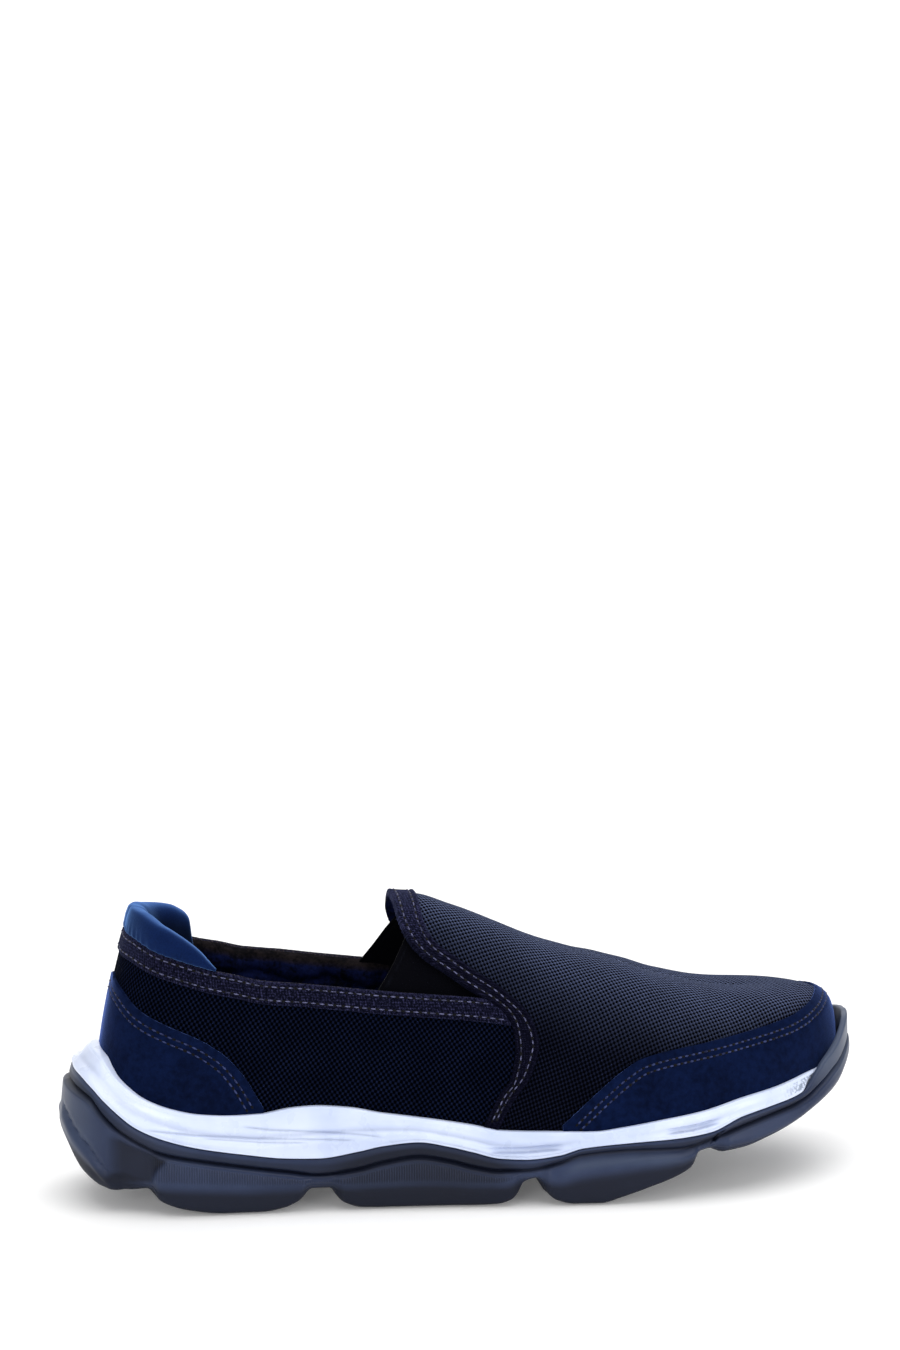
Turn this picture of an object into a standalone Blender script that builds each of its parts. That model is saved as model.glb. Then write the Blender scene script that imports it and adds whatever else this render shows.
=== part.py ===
# Slip-on sneaker, right shoe, as a maker assembles it on a last.
# Tables are in millimetres: x runs from the back of the heel to the toe, y from the outer
# (lateral) side at -y to the inner (medial) side at +y, z up from the floor.
# A station is a share of the way round an outline, in percent: 0 at the back of the heel,
# 100 at the tip of the toe, on either side. A girth is a share of the half section of the
# last, in percent: 0 at the feather edge, 100 on the ridge.

import math

import bmesh
import bpy
import numpy as np

MM = 0.001
LATERAL, MEDIAL = -1, 1
SIDES = (LATERAL, MEDIAL)

CLEARANCE = 0.45  # between a curved piece and the piece it covers
CUP_CLEARANCE = 0.6  # between the upper and the midsole's cup
SEAT_GAP = 0.3  # between faces that rest on each other
FOOT_CLEARANCE = 0.8  # from the midsole's rim up to an overlay's lower edge
UPPER_WALL = 2.0
OVERLAY_WALL = 0.9
GORE_WALL = 1.1
BINDING_WIDTH = 7.5
BINDING_END = 0.25  # stations that it stops short of the throat
INSOLE_THICKNESS = 3.5
INSOLE_CLEARANCE = 0.9
MERGE = 0.00002
HEEL_CROWDING = 1.3  # above 1, columns lie closer together round the heel


def table(columns, *rows):
    """A table as one array for each named column."""
    return {name: np.array([row[i] for row in rows], float) for i, name in enumerate(columns.split())}


# The sole's outline in plan, at its widest height
SOLE_LATERAL = [(0, 0), (4, -17), (16, -30), (36, -37), (62, -39), (95, -40), (130, -43),
                (165, -48), (198, -51), (225, -49), (250, -40), (270, -26), (283, -12), (290, 5)]
SOLE_MEDIAL = [(4, 17), (16, 29.5), (36, 35.5), (62, 36), (95, 34), (130, 35),
               (165, 41), (198, 46), (228, 47), (255, 43), (276, 34), (287, 20)]

# The last's outline in plan, at its feather edge
LAST_LATERAL = [(13.5, 0), (17, -14), (27, -25), (44, -31), (70, -33), (100, -34), (130, -37),
                (160, -42), (190, -45.5), (218, -44.5), (243, -36.5), (264, -23.5), (278, -9), (284, 6)]
LAST_MEDIAL = [(17, 14), (27, 24.5), (44, 29.5), (70, 29.5), (100, 28.5), (130, 30),
               (162, 36), (192, 41), (222, 42), (250, 39), (271, 31), (281.5, 19)]

# Height of the midsole's bed, on which the last stands
BED = table("x height",
            (10, 28), (60, 26), (100, 24), (140, 20.5), (175, 18.5),
            (205, 20.5), (235, 25), (262, 29.5), (286, 33.5))

# Ridge of the last; behind the throat it stands above the collar and only shapes the sides
RIDGE = table("x y height",
              (40, 0, 132), (75, 0, 122), (105, 0, 110), (121, 0, 104.8), (129, 0.3, 104),
              (141, 0.5, 99.6), (156, 1, 93), (174, 1.5, 85), (197, 2.5, 78.2),
              (214, 3, 71.8), (233, 4, 66.4), (246, 5, 64.3))
RIDGE_START, RIDGE_END = 40.0, 246.0
RIDGE_FAN = (0.18, 0.22)  # shares of the heel and of the toe that fan out from the ridge's ends

# Fullness of each section: how upright it leaves the feather edge and how flat it meets the ridge
FULLNESS = table("station upright crown",
                 (0, 0.45, 0.08), (6, 0.47, 0.3), (12, 0.5, 0.57), (25, 0.58, 0.75), (37, 0.6, 0.72),
                 (45, 0.55, 0.62), (55, 0.5, 0.6), (68, 0.5, 0.62), (80, 0.62, 0.68),
                 (90, 0.8, 0.82), (100, 0.9, 0.95))

# Underside of the outsole from the side: lobes with a notch between each two
LOBES = table("x height",
              (0, 22), (2, 16.5), (5, 13), (9, 10), (14, 8), (20, 7.8), (29, 8.8), (31, 6), (36, 3.2),
              (43, 1.4), (55, 0), (68, 0), (76, 1.2), (80, 2.9), (86, 7), (92, 7), (94, 4.5), (97, 2),
              (103, 0.2), (110, 0), (140, 0), (150, 0.3), (154, 1.4), (157, 3.6), (159, 7.4), (164, 9),
              (165.5, 7.5), (167.5, 4), (171, 1.4), (177, 0), (187, 0), (193, 1.6), (204, 5), (215, 8.9),
              (220, 12), (222.5, 15.8), (228, 16.8), (230, 15.5), (240, 16), (249, 17.8), (258, 19.9),
              (268, 23), (282, 28), (290, 32))
# Where the side tucks in between two lobes
TUCKS = table("x half_width depth",
              (23, 5, 2.6), (89, 3.5, 2.4), (161.5, 3, 2.4), (226, 3, 2.4))
TUCK_EASE = 4.0

# Lines along the outsole's side: widest crease, groove under the rim, and joint with the midsole
RIM = table("station crease groove joint",
            (0, 27, 43, 47.5), (4, 23.5, 42, 46.5), (7, 19.5, 40, 43.5), (9, 17, 35, 39.8),
            (11, 15, 30.5, 35.7), (13, 13.2, 27, 31.6), (16, 11.6, 22.6, 27.6), (20, 11, 20, 24.2),
            (25, 10, 17.1, 21.3), (29, 9.8, 15, 19.5), (32.5, 9.9, 13.3, 19), (36.5, 8.8, 14.9, 20.9),
            (39, 9, 17, 22.6), (42.7, 9.2, 18.8, 23.7), (46, 8.8, 17, 21.8), (48.5, 8.2, 14.7, 19.7),
            (51.2, 8.4, 13.2, 17.4), (54, 11, 13.4, 16.9), (57.5, 9.8, 15.8, 18.2), (60, 11.8, 18.4, 20.6),
            (65, 14, 19.6, 22), (70.5, 15.6, 19.3, 22.7), (74, 19, 21.5, 23.8), (78, 19.5, 24.8, 28),
            (82, 21.5, 27, 29.8), (86, 24, 28.6, 31.2), (88, 26, 30, 33.2), (89.5, 27.5, 32, 37.2),
            (91, 29.3, 34, 40.8), (92.3, 30.8, 36, 42.8), (94, 33, 38, 45.4), (96, 36.5, 41, 49.4),
            (98, 39, 43.8, 52.4), (100, 40.5, 45.2, 53.6))
# How far the rim's outer and inner edge lie inside the sole's outline
LIP = table("station outer inner",
            (0, 5, 7), (5, 4.2, 6.2), (10, 2.8, 4.8), (16, 2, 3.8), (60, 2, 3.6), (88, 1.8, 3.6),
            (93, 1.3, 3.8), (96, 1.0, 3.3), (100, 1.2, 3.5))
# Floor of the tray in the outsole that holds the midsole
TRAY = table("x height",
             (0, 15), (30, 13.5), (60, 12), (150, 12), (165, 12.4), (200, 12.6), (214, 15),
             (220, 18.3), (228, 19.3), (240, 19.3), (255, 22.5), (268, 26), (280, 29.5), (290, 32.5))
# The sole's section: the channel under the middle line, the bevel under the lobes, and the flank
CHANNEL_DEPTH = 2.4
CHANNEL_FADE = (4, 9)  # heights of the underside over which the channel ends
CHANNEL_EDGE, CHANNEL_FLOOR = 0.76, 0.84  # shares of the way from the tread's edge to the middle line
TREAD_INSET, BEVEL_INSET, BEVEL_RISE = 6.0, 2.4, 0.9
CREASE_RISE, GROOVE_RISE, JOINT_RISE = 2.0, 1.6, 2.2  # least heights of the flank's lines over each other
GROOVE_DEPTH = 1.2
FLANK_LEAN = (0.35, 0.7, 0.8)  # share of the rim's inset under the groove, in it and over it
# The midsole's flank: a band groove between two shares of its height
BAND_GROOVE = ((0.38, 0), (0.46, 0.8), (0.54, 0))  # share of the height, depth
FLANK_FOOT, FLANK_TOP, RIM_ROUND = 0.8, 0.8, 0.5
LEAST_FLANK = 2.8
SHELF_INSET, SHELF_WIDTH = 0.1, 0.3  # its foot on the outsole's rim
INSOLE_SHOULDER, INSOLE_LIP = 4.0, 1.0
# Widest steps between the sole's sections, in stations: round the ends and along the sides
ROUND_SPACING, SIDE_SPACING = 1.8, 3.4
# Middle line of the sole, on which its two halves meet
SPINE = table("station x y",
              (0, 30, 0), (8, 36, 0), (16, 47, 0), (25, 70, -1), (50, 149, -3), (70, 211, -2),
              (80, 237, 0), (90, 255, 3), (100, 263, 4))

# Feather line: top edge of the midsole on the upper, and the width of the midsole's rim there
FEATHER = table("station height rim",
                (0, 55, 2.5), (4, 53, 2.5), (5.3, 50, 2.5), (6.5, 47, 2.5), (8, 44.3, 2.5), (10, 41, 2.5),
                (13.2, 37.7, 2.5), (16.4, 35.9, 2.5), (20, 35.3, 2.5), (23, 35.5, 2.5), (26.5, 37.2, 2.5),
                (29, 37.6, 2.5), (33.4, 36.4, 2.5), (36.7, 34.3, 2.5), (40.4, 32.6, 2.5), (47, 29.4, 2.5),
                (50.6, 27.3, 2.5), (57, 26.7, 2.5), (61, 26.5, 2.5), (64, 27.5, 2.5), (69, 29.6, 2.5),
                (73.6, 31.3, 2.5), (79, 34.2, 2.5), (84, 35.7, 2.5), (89.3, 37.7, 2.2), (94, 38.5, 1.3),
                (100, 40, 1.1))
# Station of the last that lies straight inside a station of the sole
MATCH = table("sole last",
              (0, 0), (5, 3.4), (10.5, 8), (13, 10.5), (16, 13.7), (20, 17.6), (30, 27.2), (40, 37.9),
              (50, 48.6), (60, 59.4), (70, 70.2), (80, 81), (85, 86.3), (90, 90.8), (95, 95.4), (100, 100))
# Where the midsole dives behind the bumper at the toe
BUMPER_START, BUMPER_FULL, BUMPER_DEEP = 86.6, 89.2, 91.0
BUMPER_SEAT = 34.0
TRAY_SLOPES = (1.6, 0.3)  # how far the tray's wall leans in, along the sides and at the bumper

# Top edge of the quarters, from the heel to the throat
TOPLINE = table("station height",
                (0, 95.5), (5.4, 94.5), (8.3, 92.7), (10.8, 90.6), (12.9, 89), (15, 87.3), (17.9, 85),
                (20, 83.7), (23.3, 81.3), (27.9, 79.7), (31.2, 78.3), (37, 76), (43.3, 73.8), (48, 72.3),
                (52, 70.5))
# Vamp edging: its rear edge is the throat above the topline and the side seam below it
EDGING = table("girth rear front",
               (0, 47.3, 49), (11, 48.8, 50.6), (16, 49.6, 51.4), (21, 50.4, 52.4), (26, 51.6, 53.6),
               (31, 52.1, 54.4), (36, 52.5, 55), (41, 52.6, 55.4), (46, 52.5, 55.3), (50, 52, 54.9),
               (54, 50.4, 54.2), (58, 47.7, 52.8), (62, 45.4, 51), (65, 43.6, 49), (69, 42, 46.6),
               (73.5, 40.9, 44.2), (78, 40.3, 43.4), (84, 39.9, 43), (100, 39.7, 43.2))
# Overlays round the heel and the toe: top edge of each
COUNTER = table("station height",
                (0, 80.5), (4.6, 77.2), (8.8, 71), (12.9, 66), (16.2, 62), (18, 58.8), (19.6, 55),
                (21.7, 47), (22.9, 40.5), (23.5, 37.4))
GUARD = table("station height",
              (57.4, 28.6), (59.6, 34.5), (62, 40.5), (64.6, 46), (67.3, 50), (71, 52), (76.2, 53.4),
              (82, 55), (88.3, 57.4), (94.2, 60.3), (98, 61.6), (100, 62))
# Elastic gore behind the quarter and the throat: its free edge inside the opening
GORE = table("girth free",
             (47, 35.6), (53, 36.7), (64, 38.8), (74, 40.4), (79, 41.2))
GORE_TUCK = 3.4  # stations that it runs on behind the vamp

# Padded roll on the heel's topline: height above it and depth of its pad inside the wall
TAB = table("station lateral medial pad",
            (0, 9.3, 9.3, 1), (4, 10.6, 10.2, 1), (8, 11.8, 11, 1), (11, 10.9, 11.5, 0.95), (13.5, 9.3, 11.2, 0.85),
            (15, 8, 9.4, 0.7), (16, 6.6, 4.2, 0.6), (17, 4.3, 1.8, 0.4), (18, 1.6, 1.2, 0.2))
TAB_PAD_DEPTH = 10.0
TAB_PAD_THICKNESS = 4.2
# Its section from the outer face over the top to the wall's inside: offset from the upper's outer form,
# shares of the pad's thickness, of the height and of the pad's depth, and a lift in millimetres
TAB_SECTION = table("offset thickness height depth lift",
                    (1.2, 0, 0, 0, 0.45), (2.7, 0, 0.33, 0, 0), (2.8, 0, 0.7, 0, 0), (1, 0, 0.96, 0, 0),
                    (-2.06, 0.6, 1, 0, 0), (-2.8, 1, 0.6, 0, 0), (-3.1, 1, 0, 0.15, 0),
                    (-2.8, 0.8, 0, 0.75, 0), (-2.8, 0, 0, 1, 0), (-2.8, 0, 0, 0, 0.45))

COLOURS = {
    "outsole": ((0.055, 0.072, 0.10), 0.55),
    "midsole": ((0.80, 0.83, 0.90), 0.30),
    "insole": ((0.03, 0.04, 0.10), 0.90),
    "upper": ((0.012, 0.016, 0.035), 0.85),
    "heel_counter": ((0.012, 0.025, 0.085), 0.80),
    "toe_guard": ((0.012, 0.025, 0.085), 0.80),
    "vamp_edging": ((0.018, 0.018, 0.045), 0.85),
    "topline_binding": ((0.018, 0.018, 0.045), 0.85),
    "collar_tab": ((0.010, 0.045, 0.18), 0.75),
    "gore_lateral": ((0.008, 0.009, 0.020), 0.70),
    "gore_medial": ((0.008, 0.009, 0.020), 0.70),
}


def smooth(source, column, at):
    """Reads a table's column as a curve through its rows that never overshoots them."""
    knots = source[next(iter(source))]
    values = source[column]
    at = np.clip(np.asarray(at, float), knots[0], knots[-1])
    step = np.diff(knots)
    rise = np.diff(values) / step
    slope = np.zeros(len(knots))
    slope[0], slope[-1] = rise[0], rise[-1]
    for i in range(1, len(rise)):
        if rise[i - 1] * rise[i] > 0:
            before, after = step[i - 1], step[i]
            slope[i] = 3 * (before + after) / ((2 * after + before) / rise[i - 1] + (after + 2 * before) / rise[i])
    i = np.clip(np.searchsorted(knots, at, side="right") - 1, 0, len(step) - 1)
    u = (at - knots[i]) / step[i]
    return (values[i] * (1 + 2 * u) * (1 - u) ** 2 + slope[i] * step[i] * u * (1 - u) ** 2
            + values[i + 1] * u * u * (3 - 2 * u) + slope[i + 1] * step[i] * u * u * (u - 1))


def blend(low, high, share):
    return low + (high - low) * share


def ramp(at, start, full):
    """0 up to start, 1 from full on, and smooth between them."""
    share = np.clip((np.asarray(at, float) - start) / (full - start), 0, 1)
    return share * share * (3 - 2 * share)


def closed_curve(points, steps=24):
    """Smooth closed curve through points, steps to each span."""
    points = np.array(points, float)
    count = len(points)
    curve = []
    for i in range(count):
        p = [points[(i + k) % count] for k in (-1, 0, 1, 2)]
        t = [0.0]
        for k in range(3):
            t.append(t[-1] + math.sqrt(np.linalg.norm(p[k + 1] - p[k])))
        for s in np.linspace(t[1], t[2], steps, endpoint=False):
            a = [((t[k + 1] - s) * p[k] + (s - t[k]) * p[k + 1]) / (t[k + 1] - t[k]) for k in range(3)]
            b = [((t[k + 2] - s) * a[k] + (s - t[k]) * a[k + 1]) / (t[k + 2] - t[k]) for k in range(2)]
            curve.append(((t[2] - s) * b[0] + (s - t[1]) * b[1]) / (t[2] - t[1]))
    return np.array(curve)


class Outline:
    """A closed plan outline, read by station on either side."""

    def __init__(self, lateral, medial, matched=False, steps=24):
        """With matched, a station lies at the same x on both sides."""
        ring = closed_curve(lateral + medial[::-1], steps)
        toe = (len(lateral) - 1) * steps
        self.halves = {LATERAL: ring[:toe + 1], MEDIAL: np.vstack([ring[toe:], ring[:1]])[::-1]}
        self.runs = {}
        for side, half in self.halves.items():
            run = np.concatenate([[0], np.cumsum(np.linalg.norm(np.diff(half, axis=0), axis=1))])
            self.runs[side] = 100 * run / run[-1]
        if matched:
            same_x = np.interp(self.halves[MEDIAL][:, 0], self.halves[LATERAL][:, 0], self.runs[LATERAL])
            self.runs[MEDIAL] = blend(same_x, self.runs[MEDIAL], 0.01)

    def at(self, station, side):
        """Plan point at a station; past either end it goes on along the other side."""
        station = np.asarray(station, float)
        over = (station < 0) | (station > 100)
        folded = np.where(station < 0, -station, np.where(station > 100, 200 - station, station))
        own, other = (np.stack([np.interp(folded, self.runs[s], self.halves[s][:, k]) for k in (0, 1)], -1)
                      for s in (side, -side))
        return np.where(over[..., None], other, own)

    def inward(self, station, side, reach=0.6):
        """Unit vector at a station, square to the outline and into it."""
        along = self.at(station + reach, side) - self.at(station - reach, side)
        along /= np.linalg.norm(along, axis=-1)[..., None]
        return side * np.stack([along[..., 1], -along[..., 0]], -1)

    def station_of(self, x):
        return np.interp(x, self.halves[LATERAL][:, 0], self.runs[LATERAL])


SOLE = Outline(SOLE_LATERAL, SOLE_MEDIAL, matched=True)
LAST = Outline(LAST_LATERAL, LAST_MEDIAL)
SOLE_POINTS = np.vstack([SOLE.halves[LATERAL], SOLE.halves[MEDIAL]])
ORIGIN = (SOLE_POINTS.min(axis=0) + SOLE_POINTS.max(axis=0)) / 2


def fan(station, heel, toe):
    """0 to 1 along the ridge: slow over the heel's share and over the toe's."""
    s = np.asarray(station, float) / 100
    k = 1 / (1 - heel / 2 - toe / 2)
    return np.where(s < heel, k * s * s / (2 * heel),
                    np.where(s > 1 - toe, 1 - k * (1 - s) ** 2 / (2 * toe), k * (s - heel / 2)))


def section_points(station, girth, side):
    """Points of the last: each section is one curve from the feather edge in to the ridge."""
    station, girth = np.broadcast_arrays(np.asarray(station, float), np.asarray(girth, float))
    foot = LAST.at(station, side)
    base = smooth(BED, "height", foot[..., 0]) + SEAT_GAP
    ridge_x = blend(RIDGE_START, RIDGE_END, fan(station, *RIDGE_FAN))
    ridge = np.stack([ridge_x, smooth(RIDGE, "y", ridge_x)], -1)
    height = smooth(RIDGE, "height", ridge_x) - base
    width = np.linalg.norm(ridge - foot, axis=-1)
    upright = smooth(FULLNESS, "upright", station)
    crown = smooth(FULLNESS, "crown", station)

    def curve(t):
        first, second, last = 3 * t * (1 - t) ** 2, 3 * t * t * (1 - t), t ** 3
        return second * (1 - crown[..., None]) + last, first * upright[..., None] + second + last

    steps = np.linspace(0, 1, 41)
    inward, up = curve(steps)
    lengths = np.hypot(np.diff(inward) * width[..., None], np.diff(up) * height[..., None])
    run = np.concatenate([np.zeros(station.shape + (1,)), np.cumsum(lengths, -1)], -1)
    flat_run = run.reshape(-1, len(steps))
    wanted = (np.clip(girth, 0, 100) / 100 * run[..., -1]).reshape(-1)
    t = np.array([np.interp(w, r, steps) for w, r in zip(wanted, flat_run)]).reshape(station.shape)
    inward, up = (part[..., 0] for part in curve(t[..., None]))
    plan = foot + (ridge - foot) * inward[..., None]
    return np.concatenate([plan, (base + height * up)[..., None]], -1)


def skin(station, girth, side, offset=0.0):
    """The upper's outer form; offset is measured outwards from it, square to it."""
    station, girth = np.broadcast_arrays(np.asarray(station, float), np.asarray(girth, float))
    over = (station < 0) | (station > 100)
    folded = np.where(station < 0, -station, np.where(station > 100, 200 - station, station))
    points = section_points(folded, girth, side)
    if over.any():
        points = np.where(over[..., None], section_points(folded, girth, -side), points)
    if np.any(offset):
        step = 0.5
        level = np.clip(girth, step, 98.5)
        along = skin(station + step, level, side) - skin(station - step, level, side)
        up = skin(station, level + step, side) - skin(station, level - step, side)
        out = -side * np.cross(along, up)
        out /= np.linalg.norm(out, axis=-1)[..., None]
        points = points + out * np.asarray(offset, float)[..., None]
    return points


def girth_at(station, height, side):
    """Girth at which the section of a station reaches a height."""
    station, height = np.broadcast_arrays(np.asarray(station, float), np.asarray(height, float))
    levels = np.linspace(0, 100, 81)
    heights = skin(station.reshape(-1, 1), levels, side)[..., 2]
    girths = [np.interp(h, levels_z, levels) for h, levels_z in zip(height.reshape(-1), heights)]
    return np.array(girths).reshape(station.shape)


def feather_girth(station, side):
    """Girth just above the midsole's rim, where an overlay ends."""
    return girth_at(station, smooth(FEATHER, "height", station) + FOOT_CLEARANCE, side)


class Mesh:
    """Collects grids of points in millimetres as triangles, and makes them one mesh object.

    Every cell is split along the same diagonal, so two pieces that lie close together and
    whose grids run the same way keep their gap over the whole of a twisted cell.
    """

    def __init__(self):
        self.points = []
        self.faces = []

    def grid(self, points, outward, half=False):
        """points[i][j]; outward is 1 where i crossed with j points out, or else -1.

        A half of a body meets its other half at both ends of i and of j. Its two corner cells
        on the middle line are split the other way, or both halves would share a face.
        """
        points = np.asarray(points, float)
        rows, columns = points.shape[:2]
        start = len(self.points)
        self.points.extend(points.reshape(-1, 3))
        for i in range(rows - 1):
            for j in range(columns - 1):
                a = start + i * columns + j
                b, c, d = a + columns, a + columns + 1, a + 1
                corner = half and (i, j) in ((0, columns - 2), (rows - 2, 0))
                split = ((a, b, d), (b, c, d)) if corner else ((a, b, c), (a, c, d))
                for face in split:
                    self.faces.append(face if outward > 0 else face[::-1])

    def cap(self, loop, outward):
        start = len(self.points)
        self.points.extend(np.asarray(loop, float))
        face = tuple(range(start, start + len(loop)))
        self.faces.append(face if outward > 0 else face[::-1])

    def make(self, name, closed=False):
        data = bpy.data.meshes.new(name)
        data.from_pydata([tuple(p * MM) for p in self.points], [], self.faces)
        body = bmesh.new()
        body.from_mesh(data)
        bmesh.ops.remove_doubles(body, verts=body.verts, dist=MERGE)
        if closed:
            bmesh.ops.recalc_face_normals(body, faces=body.faces)
        body.to_mesh(data)
        body.free()
        data.shade_smooth()
        data.set_sharp_from_angle(angle=math.radians(40))
        made = bpy.data.objects.new(name, data)
        parts.objects.link(made)
        made.parent = frame
        data.materials.append(material(name))
        return made


def material(name):
    colour, roughness = COLOURS[name]
    made = bpy.data.materials.new(name)
    made.use_nodes = True
    shader = made.node_tree.nodes["Principled BSDF"]
    shader.inputs["Base Color"].default_value = (*colour, 1)
    shader.inputs["Roughness"].default_value = roughness
    shader.inputs["Metallic"].default_value = 0
    return made


def thicken(piece, thickness, inner):
    """Gives a sheet a wall whose inner face lies at the offset inner from the sheet."""
    wall = piece.modifiers.new("wall", "SOLIDIFY")
    wall.thickness = thickness * MM
    wall.offset = 1 + 2 * inner / thickness
    wall.use_even_offset = True
    return piece


def tuck_at(x):
    """How far the side lies inside the outline, in the gaps between lobes."""
    tuck = np.zeros(np.shape(x))
    for middle, half_width, depth in zip(*TUCKS.values()):
        away = np.abs(np.asarray(x, float) - middle) - half_width
        tuck = tuck + depth * (1 - ramp(away, 0, TUCK_EASE))
    return tuck


def sole_stations():
    """Stations of the sole's sections: one at each row of the lobes, and more where they lie far apart."""
    wanted = sorted(set(np.round(SOLE.station_of(LOBES["x"]), 2)) | {0.0, 100.0})
    stations = [0.0]
    for s in wanted[1:]:
        spacing = ROUND_SPACING if s < 12 or s > 88 else SIDE_SPACING
        pieces = max(1, math.ceil((s - stations[-1]) / spacing - 0.2))
        stations.extend(np.linspace(stations[-1], s, pieces + 1)[1:])
    return np.array(stations)


def spine_point(station, height):
    return np.stack([smooth(SPINE, "x", station), smooth(SPINE, "y", station), height], -1)


def edge_point(station, side, inset, height):
    """Point at a distance inside the sole's outline."""
    inset = np.broadcast_to(np.asarray(inset, float), np.shape(station))
    height = np.broadcast_to(np.asarray(height, float), np.shape(station))
    plan = SOLE.at(station, side) + SOLE.inward(station, side) * inset[..., None]
    return np.concatenate([plan, height[..., None]], -1)


def on_surface(points, heights, lift=0.0):
    """Moves points onto a surface that is level across the shoe."""
    moved = points.copy()
    moved[..., 2] = smooth(heights, "height", points[..., 0]) + lift
    return moved


def tray_slope(stations):
    return blend(*TRAY_SLOPES, ramp(stations, BUMPER_START, BUMPER_FULL))


def in_channel(points):
    """Lifts points of the underside by the channel's depth, which fades where the sole rises."""
    lifted = points.copy()
    lifted[:, 2] += CHANNEL_DEPTH * (1 - ramp(points[:, 2], *CHANNEL_FADE))
    return lifted


def make_outsole():
    stations = sole_stations()
    body = Mesh()
    for side in SIDES:
        x = SOLE.at(stations, side)[:, 0]
        tuck = tuck_at(x)
        bottom = smooth(LOBES, "height", x)
        crease = np.maximum(smooth(RIM, "crease", stations), bottom + CREASE_RISE)
        groove = np.maximum(smooth(RIM, "groove", stations), crease + GROOVE_RISE)
        joint = np.maximum(smooth(RIM, "joint", stations), groove + JOINT_RISE)
        lip_outer, lip_inner = smooth(LIP, "outer", stations), smooth(LIP, "inner", stations)
        below, inside, above = (share * lip_outer for share in FLANK_LEAN)
        spine = spine_point(stations, np.zeros(len(stations)))
        edge = edge_point(stations, side, TREAD_INSET + tuck, 0)
        tray_edge = edge_point(stations, side, lip_inner + tray_slope(stations), 0)
        profile = [
            in_channel(on_surface(spine, LOBES)),
            in_channel(on_surface(blend(edge, spine, CHANNEL_FLOOR), LOBES)),
            on_surface(blend(edge, spine, CHANNEL_EDGE), LOBES),
            on_surface(edge, LOBES),
            edge_point(stations, side, BEVEL_INSET + tuck, bottom + BEVEL_RISE),
            edge_point(stations, side, tuck, crease),
            edge_point(stations, side, below + tuck / 2, groove - 1),
            edge_point(stations, side, inside + GROOVE_DEPTH, groove),
            edge_point(stations, side, above, groove + 1),
            edge_point(stations, side, lip_outer, joint),
            edge_point(stations, side, lip_inner, joint),
            on_surface(tray_edge, TRAY),
            on_surface(spine, TRAY),
        ]
        body.grid(np.stack(profile, 1), side, half=True)
    return body.make("outsole", closed=True)


def make_midsole():
    stations = sole_stations()
    matched = smooth(MATCH, "last", stations)
    body = Mesh()
    for side in SIDES:
        lip_outer, lip_inner = smooth(LIP, "outer", stations), smooth(LIP, "inner", stations)
        hidden = ramp(stations, BUMPER_START, BUMPER_FULL)
        feather = smooth(FEATHER, "height", matched)
        rim = smooth(FEATHER, "rim", matched)
        sunk = ramp(stations, BUMPER_FULL, BUMPER_DEEP)
        joint = smooth(RIM, "joint", stations)
        seat = blend(np.minimum(joint + SEAT_GAP, feather - LEAST_FLANK), BUMPER_SEAT, sunk)
        outer = blend(lip_outer + SHELF_INSET, lip_inner + CLEARANCE, hidden)
        inner = np.maximum(lip_inner + CLEARANCE, outer + SHELF_WIDTH)
        spine = spine_point(stations, np.zeros(len(stations)))
        tray_edge = edge_point(stations, side, lip_inner + tray_slope(stations) + CLEARANCE, 0)
        wall_foot = edge_point(stations, side, outer, seat + FLANK_FOOT)
        wall_top = skin(matched, 0, side)
        wall_top[:, :2] -= LAST.inward(matched, side) * rim[:, None]
        wall_top[:, 2] = feather - FLANK_TOP
        rim_top = skin(matched, 0, side)
        rim_top[:, :2] -= LAST.inward(matched, side) * (rim - RIM_ROUND)[:, None]
        rim_top[:, 2] = feather
        inward = edge_point(stations, side, 1, 0) - edge_point(stations, side, 0, 0)
        band = [blend(wall_foot, wall_top, share) + inward * depth for share, depth in BAND_GROOVE]
        cup_edge = skin(matched, girth_at(matched, feather, side), side, CUP_CLEARANCE)
        cup_foot = skin(matched, 0, side, CUP_CLEARANCE)
        profile = [
            on_surface(spine, TRAY, SEAT_GAP),
            on_surface(tray_edge, TRAY, SEAT_GAP),
            edge_point(stations, side, inner, seat),
            edge_point(stations, side, outer + SHELF_INSET / 2, seat),
            wall_foot,
            *band,
            wall_top,
            rim_top,
            cup_edge,
            on_surface(cup_foot, BED),
            on_surface(spine, BED),
        ]
        # Its sections run the other way, so that its cells split as the outsole's and the upper's do
        body.grid(np.stack(profile, 1)[::-1], -side, half=True)
    return body.make("midsole", closed=True)


def make_insole():
    stations = np.linspace(0, 100, 27)
    body = Mesh()
    for side in SIDES:
        spine = spine_point(stations, np.zeros(len(stations)))
        foot = skin(stations, 0, side)
        inward = LAST.inward(stations, side)

        def inset(distance):
            moved = foot.copy()
            moved[:, :2] += inward * distance
            return moved

        edge = inset(UPPER_WALL + INSOLE_CLEARANCE)
        shoulder = inset(UPPER_WALL + INSOLE_CLEARANCE + INSOLE_SHOULDER)
        profile = [
            on_surface(spine, BED, SEAT_GAP),
            on_surface(edge, BED, SEAT_GAP),
            on_surface(edge, BED, INSOLE_THICKNESS + INSOLE_LIP),
            on_surface(shoulder, BED, INSOLE_THICKNESS),
            on_surface(spine, BED, INSOLE_THICKNESS),
        ]
        body.grid(np.stack(profile, 1), side, half=True)
    return body.make("insole", closed=True)


def quarter_grid(side, columns, rows):
    """Rear part of the upper: from the heel to the side seam, up to the topline."""
    across = np.linspace(0, 1, columns)[:, None] ** HEEL_CROWDING
    up = np.linspace(0, 1, rows)[None, :]
    station = blend(0, 50, across) * np.ones_like(up)
    for _ in range(4):
        girth = up * girth_at(station, smooth(TOPLINE, "height", station), side)
        station = across * smooth(EDGING, "rear", girth)
    return station, girth


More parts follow.
